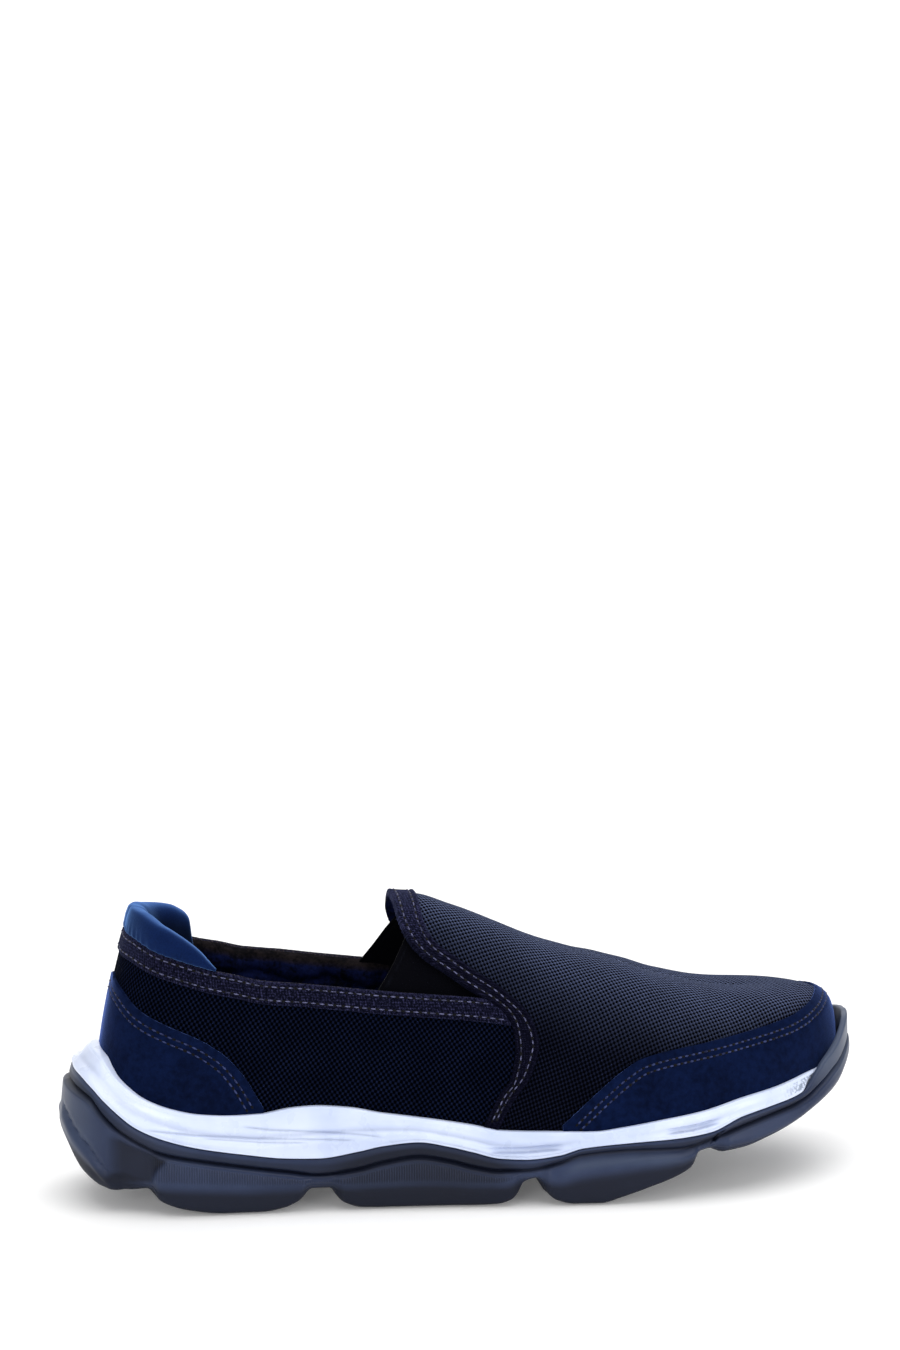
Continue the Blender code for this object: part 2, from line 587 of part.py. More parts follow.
def make_upper():
    columns, rows, throat_rows, vamp_columns = 18, 8, 7, 22
    body = Mesh()
    for side in SIDES:
        station, girth = quarter_grid(side, columns, rows)
        body.grid(skin(station, girth, side), -side)
        seam = girth[-1]
        levels = np.concatenate([seam, np.linspace(seam[-1], 100, throat_rows)[1:]])
        rear = smooth(EDGING, "rear", levels)
        rear[:rows] = station[-1]
        toe_levels = np.linspace(0, 100, len(levels))
        along = np.linspace(0, 1, vamp_columns)[:, None]
        body.grid(skin(blend(rear, 100, along), blend(levels, toe_levels, along), side), -side)
    return thicken(body.make("upper"), UPPER_WALL, -UPPER_WALL)


def make_heel_counter():
    stations = np.linspace(0, COUNTER["station"][-1], 11)
    body = Mesh()
    for side in SIDES:
        low = feather_girth(stations, side)
        high = girth_at(stations, smooth(COUNTER, "height", stations), side)
        levels = blend(low[:, None], high[:, None], np.linspace(0, 1, 5))
        body.grid(skin(stations[:, None], levels, side), -side)
    return thicken(body.make("heel_counter"), OVERLAY_WALL, CLEARANCE)


def make_toe_guard():
    stations = np.linspace(GUARD["station"][0], 100, 20)
    body = Mesh()
    for side in SIDES:
        low = feather_girth(stations, side)
        high = girth_at(stations, smooth(GUARD, "height", stations), side)
        levels = blend(low[:, None], high[:, None], np.linspace(0, 1, 5))
        body.grid(skin(stations[:, None], levels, side), -side)
    return thicken(body.make("toe_guard"), OVERLAY_WALL, CLEARANCE)


def make_vamp_edging():
    across = np.linspace(0, 1, 3)[:, None]
    up = np.linspace(0, 1, 17)[None, :]
    body = Mesh()
    for side in SIDES:
        station = np.full((3, 17), 50.0)
        for _ in range(4):
            girth = blend(feather_girth(station, side), 100, up)
            station = blend(smooth(EDGING, "rear", girth), smooth(EDGING, "front", girth), across)
        body.grid(skin(station, girth, side), -side)
    return thicken(body.make("vamp_edging"), OVERLAY_WALL, CLEARANCE)


def make_topline_binding():
    across = np.linspace(0, 1, 22)[:, None] ** HEEL_CROWDING
    body = Mesh()
    for side in SIDES:
        station = across * 50 * np.ones((1, 2))
        for _ in range(4):
            top = smooth(TOPLINE, "height", station) + np.array([-BINDING_WIDTH, 0])
            girth = girth_at(station, top, side)
            station = across * (smooth(EDGING, "rear", girth) - BINDING_END)
        body.grid(skin(station, girth, side), -side)
    return thicken(body.make("topline_binding"), OVERLAY_WALL, CLEARANCE)


def make_gore(name, side):
    levels = np.linspace(GORE["girth"][0], GORE["girth"][-1], 8)
    free = smooth(GORE, "free", levels)
    hidden = smooth(EDGING, "rear", levels) + GORE_TUCK
    body = Mesh()
    stations = blend(free, hidden, np.linspace(0, 1, 4)[:, None])
    body.grid(skin(stations, levels[None, :], side), -side)
    return thicken(body.make(name), GORE_WALL, -(UPPER_WALL + CLEARANCE + GORE_WALL))


def tab_loop(station, side):
    """Section of the collar's roll at a station."""
    height = float(smooth(TAB, "lateral" if side == LATERAL else "medial", station))
    pad = float(smooth(TAB, "pad", station))
    share = TAB_SECTION
    offset = share["offset"] - share["thickness"] * TAB_PAD_THICKNESS * pad
    level = share["height"] * height - share["depth"] * TAB_PAD_DEPTH * pad + share["lift"]
    along = np.full(len(level), station)
    girth = girth_at(along, smooth(TOPLINE, "height", along) + level, side)
    return skin(along, girth, side, offset)


def make_collar_tab():
    stations = np.concatenate([np.linspace(0, 13, 8), [14.4, 15.7, 16.9, 18]])
    loops = [tab_loop(s, MEDIAL) for s in stations[::-1]] + [tab_loop(s, LATERAL) for s in stations[1:]]
    closed = np.array([np.vstack([loop, loop[:1]]) for loop in loops])
    body = Mesh()
    body.grid(closed, 1)
    body.cap(loops[0], 1)
    body.cap(loops[-1], -1)
    return body.make("collar_tab", closed=True)


for old in list(bpy.data.objects):
    bpy.data.objects.remove(old, do_unlink=True)
parts = bpy.data.collections.new("slip_on_sneaker_right")
bpy.context.scene.collection.children.link(parts)

# The tables start at the heel; the frame's origin is under the middle of the shoe
frame = bpy.data.objects.new("last_frame", None)
frame.location = (-ORIGIN[0] * MM, -ORIGIN[1] * MM, 0)
parts.objects.link(frame)

make_outsole()
make_midsole()
make_insole()
make_upper()
make_heel_counter()
make_toe_guard()
make_vamp_edging()
make_topline_binding()
make_gore("gore_lateral", LATERAL)
make_gore("gore_medial", MEDIAL)
make_collar_tab()
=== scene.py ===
# Slip-on sneaker, right shoe: how it looks.
# Tables are in millimetres: x from the back of the heel, -y to the outer side, z up.
# A station runs round an outline from 0 at the heel to 100 at the toe, on either side.
# A girth runs up the last's half section from 0 at the feather edge to 100 on the ridge.
import math
import bmesh
import bpy
import numpy as np
from mathutils import Matrix, Vector
from mathutils.kdtree import KDTree


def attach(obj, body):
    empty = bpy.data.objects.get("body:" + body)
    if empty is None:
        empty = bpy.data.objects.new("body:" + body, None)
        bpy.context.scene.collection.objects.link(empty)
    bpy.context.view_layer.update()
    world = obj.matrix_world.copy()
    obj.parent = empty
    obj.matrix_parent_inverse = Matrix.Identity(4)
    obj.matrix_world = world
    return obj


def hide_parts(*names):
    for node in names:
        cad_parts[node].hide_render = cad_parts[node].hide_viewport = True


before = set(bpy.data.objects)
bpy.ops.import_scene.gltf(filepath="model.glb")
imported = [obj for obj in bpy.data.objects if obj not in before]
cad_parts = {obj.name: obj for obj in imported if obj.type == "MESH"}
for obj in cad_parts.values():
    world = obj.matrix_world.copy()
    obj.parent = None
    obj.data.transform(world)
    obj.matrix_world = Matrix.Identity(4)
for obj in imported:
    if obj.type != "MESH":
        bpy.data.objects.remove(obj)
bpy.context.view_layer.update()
mm = 0.001
lateral, medial = -1, 1
sides = (lateral, medial)


# Reading tables, and the plan outlines

def table(columns, *rows):
    return {name: np.array([row[i] for row in rows], float) for i, name in enumerate(columns.split())}


def smooth(source, column, at):  # a curve through the rows that never overshoots them
    knots = source[next(iter(source))]
    values = source[column]
    at = np.clip(np.asarray(at, float), knots[0], knots[-1])
    step = np.diff(knots)
    rise = np.diff(values) / step
    slope = np.zeros(len(knots))
    slope[0], slope[-1] = rise[0], rise[-1]
    for i in range(1, len(rise)):
        if rise[i - 1] * rise[i] > 0:
            before, after = step[i - 1], step[i]
            slope[i] = 3 * (before + after) / ((2 * after + before) / rise[i - 1] + (after + 2 * before) / rise[i])
    i = np.clip(np.searchsorted(knots, at, side="right") - 1, 0, len(step) - 1)
    u = (at - knots[i]) / step[i]
    return (values[i] * (1 + 2 * u) * (1 - u) ** 2 + slope[i] * step[i] * u * (1 - u) ** 2
            + values[i + 1] * u * u * (3 - 2 * u) + slope[i + 1] * step[i] * u * u * (u - 1))


def blend(low, high, share):
    return low + (high - low) * share


def ramp(at, start, full):  # 0 up to start, 1 from full on
    share = np.clip((np.asarray(at, float) - start) / (full - start), 0, 1)
    return share * share * (3 - 2 * share)


def bell(distance, width):
    return np.exp(-(distance / width) ** 2)


def closedCurve(points, steps=24):
    points = np.array(points, float)
    count = len(points)
    curve = []
    for i in range(count):
        p = [points[(i + k) % count] for k in (-1, 0, 1, 2)]
        t = [0.0]
        for k in range(3):
            t.append(t[-1] + math.sqrt(np.linalg.norm(p[k + 1] - p[k])))
        for s in np.linspace(t[1], t[2], steps, endpoint=False):
            a = [((t[k + 1] - s) * p[k] + (s - t[k]) * p[k + 1]) / (t[k + 1] - t[k]) for k in range(3)]
            b = [((t[k + 2] - s) * a[k] + (s - t[k]) * a[k + 1]) / (t[k + 2] - t[k]) for k in range(2)]
            curve.append(((t[2] - s) * b[0] + (s - t[1]) * b[1]) / (t[2] - t[1]))
    return np.array(curve)


class Outline:  # a closed plan outline, read by station
    def __init__(self, outer, inner, matched=False, steps=24):
        ring = closedCurve(outer + inner[::-1], steps)
        toe = (len(outer) - 1) * steps
        self.halves = {lateral: ring[:toe + 1], medial: np.vstack([ring[toe:], ring[:1]])[::-1]}
        self.runs = {}
        self.lengths = {}
        for side, half in self.halves.items():
            run = np.concatenate([[0], np.cumsum(np.linalg.norm(np.diff(half, axis=0), axis=1))])
            self.lengths[side] = run[-1]
            self.runs[side] = 100 * run / run[-1]
        if matched:
            sameX = np.interp(self.halves[medial][:, 0], self.halves[lateral][:, 0], self.runs[lateral])
            self.runs[medial] = blend(sameX, self.runs[medial], 0.01)

    def at(self, station, side):
        station = np.asarray(station, float)
        over = (station < 0) | (station > 100)
        folded = np.where(station < 0, -station, np.where(station > 100, 200 - station, station))
        own, other = (np.stack([np.interp(folded, self.runs[s], self.halves[s][:, k]) for k in (0, 1)], -1)
                      for s in (side, -side))
        return np.where(over[..., None], other, own)

    def inward(self, station, side, reach=0.6):
        along = self.at(station + reach, side) - self.at(station - reach, side)
        along /= np.linalg.norm(along, axis=-1)[..., None]
        return side * np.stack([along[..., 1], -along[..., 0]], -1)


soleOutline = Outline(
    [(0, 0), (4, -17), (16, -30), (36, -37), (62, -39), (95, -40), (130, -43),
     (165, -48), (198, -51), (225, -49), (250, -40), (270, -26), (283, -12), (290, 5)],
    [(4, 17), (16, 29.5), (36, 35.5), (62, 36), (95, 34), (130, 35),
     (165, 41), (198, 46), (228, 47), (255, 43), (276, 34), (287, 20)], matched=True)
lastOutline = Outline(
    [(13.5, 0), (17, -14), (27, -25), (44, -31), (70, -33), (100, -34), (130, -37),
     (160, -42), (190, -45.5), (218, -44.5), (243, -36.5), (264, -23.5), (278, -9), (284, 6)],
    [(17, 14), (27, 24.5), (44, 29.5), (70, 29.5), (100, 28.5), (130, 30),
     (162, 36), (192, 41), (222, 42), (250, 39), (271, 31), (281.5, 19)])
outlinePoints = np.vstack([soleOutline.halves[lateral], soleOutline.halves[medial]])
origin = np.append((outlinePoints.min(axis=0) + outlinePoints.max(axis=0)) / 2, 0)


# The last, sampled once as two sheets of points and normals

bed = table("x height",
            (10, 28), (60, 26), (100, 24), (140, 20.5), (175, 18.5),
            (205, 20.5), (235, 25), (262, 29.5), (286, 33.5))
ridge = table("x y height",
              (40, 0, 132), (75, 0, 122), (105, 0, 110), (121, 0, 104.8), (129, 0.3, 104),
              (141, 0.5, 99.6), (156, 1, 93), (174, 1.5, 85), (197, 2.5, 78.2),
              (214, 3, 71.8), (233, 4, 66.4), (246, 5, 64.3))
fullness = table("station upright crown",
                 (0, 0.45, 0.08), (6, 0.47, 0.3), (12, 0.5, 0.57), (25, 0.58, 0.75), (37, 0.6, 0.72),
                 (45, 0.55, 0.62), (55, 0.5, 0.6), (68, 0.5, 0.62), (80, 0.62, 0.68),
                 (90, 0.86, 0.9), (100, 1.0, 1.0))
lastSpec = {"ridgeStart": 40.0, "ridgeEnd": 246.0, "heelFan": 0.18, "toeFan": 0.22, "seatGap": 0.3,
            "stationStep": 0.25, "girthStep": 0.5, "beyond": 4}


def fan(station):  # 0 to 1 along the ridge, slow over its two ends
    heel, toe = lastSpec["heelFan"], lastSpec["toeFan"]
    s = np.asarray(station, float) / 100
    k = 1 / (1 - heel / 2 - toe / 2)
    return np.where(s < heel, k * s * s / (2 * heel),
                    np.where(s > 1 - toe, 1 - k * (1 - s) ** 2 / (2 * toe), k * (s - heel / 2)))


def sampleLast():
    n = round(100 / lastSpec["stationStep"])
    station = np.linspace(0, 100, n + 1)
    girth = np.linspace(0, 100, round(100 / lastSpec["girthStep"]) + 1)
    t = np.linspace(0, 1, 161)
    halves, lengths, plane = [], [], []
    for side in sides:
        foot = lastOutline.at(station, side)
        base = smooth(bed, "height", foot[:, 0]) + lastSpec["seatGap"]
        ridgeX = blend(lastSpec["ridgeStart"], lastSpec["ridgeEnd"], fan(station))
        top = np.stack([ridgeX, smooth(ridge, "y", ridgeX)], -1)
        height = smooth(ridge, "height", ridgeX) - base
        width = np.linalg.norm(top - foot, axis=-1)
        upright = smooth(fullness, "upright", station)[:, None]
        crown = smooth(fullness, "crown", station)[:, None]
        first, second, last = 3 * t * (1 - t) ** 2, 3 * t * t * (1 - t), t ** 3
        inward = second * (1 - crown) + last
        up = first * upright + second + last
        steps = np.hypot(np.diff(inward) * width[:, None], np.diff(up) * height[:, None])
        run = np.concatenate([np.zeros((n + 1, 1)), np.cumsum(steps, 1)], 1)
        share = np.array([np.interp(girth / 100 * r[-1], r, t) for r in run])
        inwardAt = np.array([np.interp(s, t, row) for s, row in zip(share, inward)])
        upAt = np.array([np.interp(s, t, row) for s, row in zip(share, up)])
        plan = foot[:, None] + (top - foot)[:, None] * inwardAt[..., None]
        points = np.concatenate([plan, (base[:, None] + height[:, None] * upAt)[..., None]], -1)
        # cloth laid flat: down from the ridge along each section
        down = run[:, -1:] * (1 - girth / 100)
        away = (foot - top) / width[:, None]
        rise = np.gradient(smooth(ridge, "height", ridgeX)) / np.maximum(np.gradient(ridgeX), 1e-6)
        along = np.concatenate([[0], np.cumsum(np.hypot(np.diff(ridgeX), np.diff(ridgeX) * rise[1:]))])
        flat = np.stack([along[:, None] + down * away[:, :1], down * away[:, 1:]], -1)
        halves.append(points)
        lengths.append(run[:, -1])
        plane.append(flat)
    pad = round(lastSpec["beyond"] / lastSpec["stationStep"])
    sheets = []
    for k in (0, 1):
        own, other = halves[k], halves[1 - k]
        padded = np.concatenate([other[pad:0:-1], own, other[-2:-pad - 2:-1]])
        along = np.gradient(padded, axis=0)
        up = np.gradient(padded, axis=1)
        up[:, -1] = up[:, -3]
        out = -sides[k] * np.cross(along, up)
        out /= np.linalg.norm(out, axis=-1)[..., None] + 1e-12
        ends = np.concatenate([plane[1 - k][pad:0:-1], plane[k], plane[1 - k][-2:-pad - 2:-1]])
        sheets.append(np.concatenate([padded, out, ends], -1))
    return np.array(sheets), np.array(lengths)


lastSheets, sectionLengths = sampleLast()


def lookUp(station, girth, side):
    station, girth, side = np.broadcast_arrays(np.asarray(station, float), np.asarray(girth, float), side)
    half = (side > 0).astype(int)
    u = (station + lastSpec["beyond"]) / lastSpec["stationStep"]
    v = girth / lastSpec["girthStep"]
    i = np.clip(np.floor(u).astype(int), 0, lastSheets.shape[1] - 2)
    j = np.clip(np.floor(v).astype(int), 0, lastSheets.shape[2] - 2)
    u, v = (u - i)[..., None], np.clip(v - j, 0, 1)[..., None]
    return (lastSheets[half, i, j] * (1 - u) * (1 - v) + lastSheets[half, i + 1, j] * u * (1 - v)
            + lastSheets[half, i, j + 1] * (1 - u) * v + lastSheets[half, i + 1, j + 1] * u * v)


def skin(station, girth, side, offset=0.0):  # the upper's outer form; offset is square to it
    found = lookUp(station, girth, side)
    return found[..., :3] + found[..., 3:6] * np.broadcast_to(offset, found.shape[:-1])[..., None]


def sectionLength(station, side):
    station, side = np.broadcast_arrays(np.asarray(station, float), side)
    steps = np.linspace(0, 100, sectionLengths.shape[1])
    folded = np.clip(np.abs(station), 0, 100)
    outer, inner = (np.interp(folded, steps, lengths) for lengths in sectionLengths)
    return np.where(side > 0, inner, outer)


def girthAt(station, height, side):  # girth at which a section reaches a height
    station, height, side = np.broadcast_arrays(np.asarray(station, float), np.asarray(height, float), side)
    shape = station.shape
    station, height, side = station.reshape(-1), height.reshape(-1), side.reshape(-1)
    levels = np.linspace(0, 100, 101)
    out = np.empty(len(station))
    for start in range(0, len(station), 4000):
        part = slice(start, start + 4000)
        z = lookUp(station[part, None], levels, side[part, None])[..., 2]
        wanted = height[part, None]
        above = np.clip((z < wanted).sum(1), 1, len(levels) - 1)
        rows = np.arange(len(z))
        low, high = z[rows, above - 1], z[rows, above]
        share = np.clip((height[part] - low) / np.maximum(high - low, 1e-6), 0, 1)
        out[part] = blend(levels[above - 1], levels[above], share)
    return out.reshape(shape)


print("last sampled")


# Panel tables

feather = table("station height rim",
                (0, 55, 2.5), (4, 53, 2.5), (5.3, 50, 2.5), (6.5, 47, 2.5), (8, 44.3, 2.5), (10, 41, 2.5),
                (13.2, 37.7, 2.5), (16.4, 35.9, 2.5), (20, 35.3, 2.5), (23, 35.5, 2.5), (26.5, 37.2, 2.5),
                (29, 37.6, 2.5), (33.4, 36.4, 2.5), (36.7, 34.3, 2.5), (40.4, 32.6, 2.5), (47, 29.4, 2.5),
                (50.6, 27.3, 2.5), (57, 26.7, 2.5), (61, 26.5, 2.5), (64, 27.5, 2.5), (69, 29.6, 2.5),
                (73.6, 31.3, 2.5), (79, 34.2, 2.5), (84, 35.7, 2.5), (89.3, 37.7, 2.2), (94, 38.5, 1.3),
                (100, 40, 1.1))
topline = table("station height",
                (0, 95.5), (5.4, 94.5), (8.3, 92.7), (10.8, 90.6), (12.9, 89), (15, 87.3), (17.9, 85),
                (20, 83.7), (23.3, 81.3), (27.9, 79.7), (31.2, 78.3), (37, 76), (43.3, 73.8), (48, 72.3),
                (52, 70.5))
edging = table("girth rear front",
               (0, 47.3, 49), (11, 48.8, 50.6), (16, 49.6, 51.4), (21, 50.4, 52.4), (26, 51.6, 53.6),
               (31, 52.1, 54.4), (36, 52.5, 55), (41, 52.6, 55.4), (46, 52.5, 55.3), (50, 52, 54.9),
               (54, 50.4, 54.2), (58, 47.7, 52.8), (62, 45.4, 51), (65, 43.6, 49), (69, 42, 46.6),
               (73.5, 40.9, 44.2), (78, 40.3, 43.4), (84, 39.9, 43), (100, 39.7, 43.2))
counter = table("station height",
                (0, 80.5), (4.6, 77.2), (8.8, 71), (12.9, 66), (16.2, 62), (18, 58.8), (19.6, 55),
                (21.7, 47), (22.9, 40.5), (23.5, 37.4))
guard = table("station height",
              (57.4, 28.6), (59.6, 34.5), (62, 40.5), (64.6, 46), (67.3, 50), (71, 52), (76.2, 53.4),
              (82, 55), (88.3, 57.4), (94.2, 60.3), (98, 61.6), (100, 62))
gore = table("girth free",
             (47, 35.6), (53, 36.7), (64, 38.8), (74, 40.4), (79, 41.2))


# Meshes

meshSpec = {"merge": 0.02, "sharpAngle": 40}


class Patchwork:  # grids of points in millimetres, sewn into one mesh
    def __init__(self):
        self.points, self.faces, self.values, self.count = [], [], {}, 0

    def grid(self, points, weave, **values):
        points = np.asarray(points, float)
        rows, columns = points.shape[:2]
        ids = self.count + np.arange(rows * columns).reshape(rows, columns)
        quads = np.stack([ids[:-1, :-1], ids[1:, :-1], ids[1:, 1:], ids[:-1, 1:]], -1).reshape(-1, 4)
        self.points.append(points.reshape(-1, 3))
        self.faces.append(quads)
        values["weaveU"], values["weaveV"] = weave[..., 0], weave[..., 1]
        for name, value in values.items():
            flat = np.broadcast_to(value, (rows, columns)).reshape(-1)
            self.values.setdefault(name, []).append((self.count, flat))
        self.count += rows * columns

    def shell(self, outer, inner, weave, ends=(True, True), **values):
        self.grid(outer, weave, **values)
        self.grid(inner, weave, **values)
        for wanted, pick in ((ends[0], lambda g: g[0]), (ends[1], lambda g: g[-1]),
                             (True, lambda g: g[:, 0]), (True, lambda g: g[:, -1])):
            if wanted:
                strip = {name: np.stack([pick(np.broadcast_to(value, outer.shape[:2]))] * 2)
                         for name, value in values.items()}
                self.grid(np.stack([pick(outer), pick(inner)]), np.stack([pick(weave)] * 2), **strip)

    def make(self, name, finish, slot, replaced=()):
        data = bpy.data.meshes.new(name)
        points = (np.concatenate(self.points) - origin) * mm
        data.from_pydata(points.tolist(), [], np.concatenate(self.faces).tolist())
        for key, runs in self.values.items():
            column = np.zeros(self.count, np.float32)
            for start, flat in runs:
                column[start:start + len(flat)] = flat
            data.attributes.new(key, "FLOAT", "POINT").data.foreach_set("value", column)
        body = bmesh.new()
        body.from_mesh(data)
        bmesh.ops.remove_doubles(body, verts=body.verts, dist=meshSpec["merge"] * mm)
        bmesh.ops.dissolve_degenerate(body, edges=body.edges, dist=1e-6)
        bmesh.ops.recalc_face_normals(body, faces=body.faces)
        body.to_mesh(data)
        body.free()
        u, v = (np.zeros(len(data.vertices), np.float32) for _ in range(2))
        data.attributes["weaveU"].data.foreach_get("value", u)
        data.attributes["weaveV"].data.foreach_get("value", v)
        corners = np.zeros(len(data.loops), np.int32)
        data.loops.foreach_get("vertex_index", corners)
        layer = data.uv_layers.new(name="weave")
        layer.uv.foreach_set("vector", np.stack([u[corners], v[corners]], -1).astype(np.float32).reshape(-1))
        for key in ("weaveU", "weaveV"):
            data.attributes.remove(data.attributes[key])
        data.shade_smooth()
        return place(name, data, finish, slot, replaced)


def place(name, data, finish, slot, replaced=()):
    piece = bpy.data.objects.new(name, data)
    bpy.context.scene.collection.objects.link(piece)
    data.materials.clear()
    data.materials.append(finish)
    data.set_sharp_from_angle(angle=math.radians(meshSpec["sharpAngle"]))
    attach(piece, "root")
    if replaced:
        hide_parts(*replaced)
    print(f"{name}: {sum(len(p.vertices) - 2 for p in data.polygons)} triangles")
    return piece


# Finishes

def linear(*colour):  # a screen colour, 0 to 255, as shader values
    return tuple(c / 3294.6 if c <= 10 else ((c / 255 + 0.055) / 1.055) ** 2.4 for c in colour) + (1,)


class Finish:  # a material and short words for its nodes
    def __init__(self, name, **sockets):
        self.material = bpy.data.materials.new(name)
        self.material.use_nodes = True
        self.tree = self.material.node_tree
        self.shader = self.tree.nodes["Principled BSDF"]
        for key, value in sockets.items():
            self.shader.inputs[key.replace("_", " ")].default_value = value

    def node(self, kind, inputs=(), **settings):
        made = self.tree.nodes.new("ShaderNode" + kind)
        for key, value in settings.items():
            setattr(made, key, value)
        for key, value in dict(inputs).items():
            self.feed(made.inputs[key], value)
        return made

    def feed(self, socket, value):
        if isinstance(value, bpy.types.NodeSocket):
            self.tree.links.new(value, socket)
        else:
            socket.default_value = value

    def math(self, operation, *values, clamp=False):
        made = self.tree.nodes.new("ShaderNodeMath")
        made.operation, made.use_clamp = operation, clamp
        for socket, value in zip(made.inputs, values):
            self.feed(socket, value)
        return made.outputs[0]

    def mix(self, share, low, high):
        made = self.node("Mix", data_type="RGBA")
        for key, value in ((0, share), (6, low), (7, high)):
            self.feed(made.inputs[key], value)
        return made.outputs[2]

    def between(self, value, low, high, start=0.0, end=1.0):
        made = self.node("MapRange", interpolation_type="SMOOTHSTEP")
        for socket, v in zip(made.inputs, (value, low, high, start, end)):
            self.feed(socket, v)
        return made.outputs[0]

    def weave(self, scale=(1, 1, 1), turn=0.0):  # the piece's own cloth coordinates, in mm
        uv = self.node("UVMap", uv_map="weave").outputs[0]
        turned = {"Vector": uv, "Scale": scale, "Rotation": (0, 0, math.radians(turn))}
        return self.node("Mapping", turned).outputs[0]

    def spot(self):
        return self.node("TexCoord").outputs["Object"]

    def noise(self, where, scale, detail=3.0, roughness=0.55):
        inputs = {"Vector": where, "Scale": scale, "Detail": detail, "Roughness": roughness}
        return self.node("TexNoise", inputs).outputs[0]

    def attribute(self, name):
        return self.node("Attribute", attribute_name=name).outputs["Fac"]

    def relief(self, height, depth, strength=1.0):
        made = self.node("Bump", {"Height": height, "Distance": depth * mm, "Strength": strength})
        self.feed(self.shader.inputs["Normal"], made.outputs[0])
        return made

    def colour(self, value):
        self.feed(self.shader.inputs["Base Color"], value)

    def rough(self, value):
        self.feed(self.shader.inputs["Roughness"], value)


def knitNet(made, look):  # 1 in the middle of a hole, -1 where threads cross; every other row is shifted
    drift = made.math("MULTIPLY", made.noise(made.weave((0.3, 0.3, 1)), 1.0, 2.0), look["drift"])
    place = made.node("SeparateXYZ", {"Vector": made.weave(turn=look["turn"])}).outputs
    waves = []
    for coordinate, size in zip(place, ("pitch", "rise")):
        phase = made.math("ADD", made.math("MULTIPLY", coordinate, 2 * math.pi / look[size]), drift)
        waves.append(made.math("COSINE", phase))
    return made.math("MULTIPLY", *waves)


def knitFinish(name, look):  # open knit: staggered holes in a net of slanting threads
    made = Finish(name, Roughness=0.9, Sheen_Roughness=0.5, Sheen_Tint=look["tint"],
                  Specular_IOR_Level=look["gloss"])
    net = knitNet(made, look)
    hole = made.between(net, look["holeEdge"], look["holeEdge"] + 0.45)
    crossing = made.between(net, 0.2, -0.8)
    patchy = made.between(made.noise(made.weave((0.06, 0.06, 1)), 1.0, 3.0), 0.25, 0.75, 0.55, 1.0)
    fibre = made.between(made.noise(made.weave((1.2, 1.2, 1)), 2.0, 2.0), 0.25, 0.75, 0.5, 1.0)
    light = made.math("MULTIPLY", fibre, patchy)
    light = made.math("MULTIPLY", light, made.math("ADD", crossing, 0.25), clamp=True)
    # painted light from above: where the crown attribute marks the upward-facing top, the threads take the lighter
    # lit colours
    crown = made.attribute("crown")
    threads = made.mix(crown, made.mix(light, look["thread"], look["threadLight"]),
                       made.mix(light, look["crownThread"], look["crownLight"]))
    made.colour(made.mix(hole, threads, look["gap"]))
    solid = made.math("SUBTRACT", 1.0, hole)
    made.feed(made.shader.inputs["Sheen Weight"],
              made.math("MULTIPLY", made.math("MULTIPLY", solid, crown), look["sheen"]))
    made.relief(made.math("ADD", solid, made.math("MULTIPLY", crossing, 0.6)), look["relief"])
    return made.material


def nubuckFinish(name, look):
    made = Finish(name, Roughness=0.9, Sheen_Weight=1.0, Sheen_Roughness=0.3,
                  Sheen_Tint=linear(112, 142, 225), Specular_IOR_Level=0.02)
    spot = made.spot()
    fine = made.noise(spot, 2600, 2.0)
    nap = made.noise(spot, 420, 4.0, 0.65)
    cloudy = made.noise(spot, 38, 3.0)
    tone = made.math("ADD", made.math("MULTIPLY", nap, 0.6), made.math("MULTIPLY", cloudy, 0.5))
    made.colour(made.mix(made.between(tone, 0.35, 0.75), look["deep"], look["pale"]))
    made.rough(made.between(cloudy, 0.3, 0.7, 0.8, 0.92))
    made.relief(made.math("ADD", fine, made.math("MULTIPLY", nap, 0.8)), 0.12, 0.5)
    return made.material


def webbingFinish(name, look):  # woven tape with pale flecks; more of them along its top edge and the edging's piping, a painted highlight, and fewer down the edging's side, painted shade
    made = Finish(name, Roughness=0.85, Sheen_Roughness=0.5, Sheen_Tint=linear(130, 145, 215),
                  Specular_IOR_Level=0.03)
    ribs = knitNet(made, look)
    # painted light from above: the flecks and sheen thin out where this is low, down the edging's side, and fill
    # in on top
    lively = made.attribute("lively")
    made.feed(made.shader.inputs["Sheen Weight"], made.math("MULTIPLY", lively, 0.12))
    flecks = made.noise(made.weave((1, 1, 1)), 1.1, 3.0, 0.6)
    tone = made.between(flecks, 0.42, 0.7)
    knots = made.between(ribs, -0.5, 0.5)
    share = made.math("MULTIPLY", tone, made.math("ADD", knots, 0.2))
    # painted highlight: more pale flecks along the tape's raised top edge and the edging's piping
    worn = made.math("MULTIPLY", made.attribute("worn"), made.between(flecks, 0.38, 0.6))
    woven = made.math("MULTIPLY", made.math("MAXIMUM", share, worn, clamp=True), lively, clamp=True)
    woven = made.mix(woven, look["deep"], look["fleck"])
    made.colour(made.mix(made.attribute("inside"), woven, made.mix(tone, look["backDeep"], look["backPale"])))
    made.relief(made.math("ADD", knots, made.math("MULTIPLY", flecks, 0.6)), 0.3, 0.9)
    return made.material


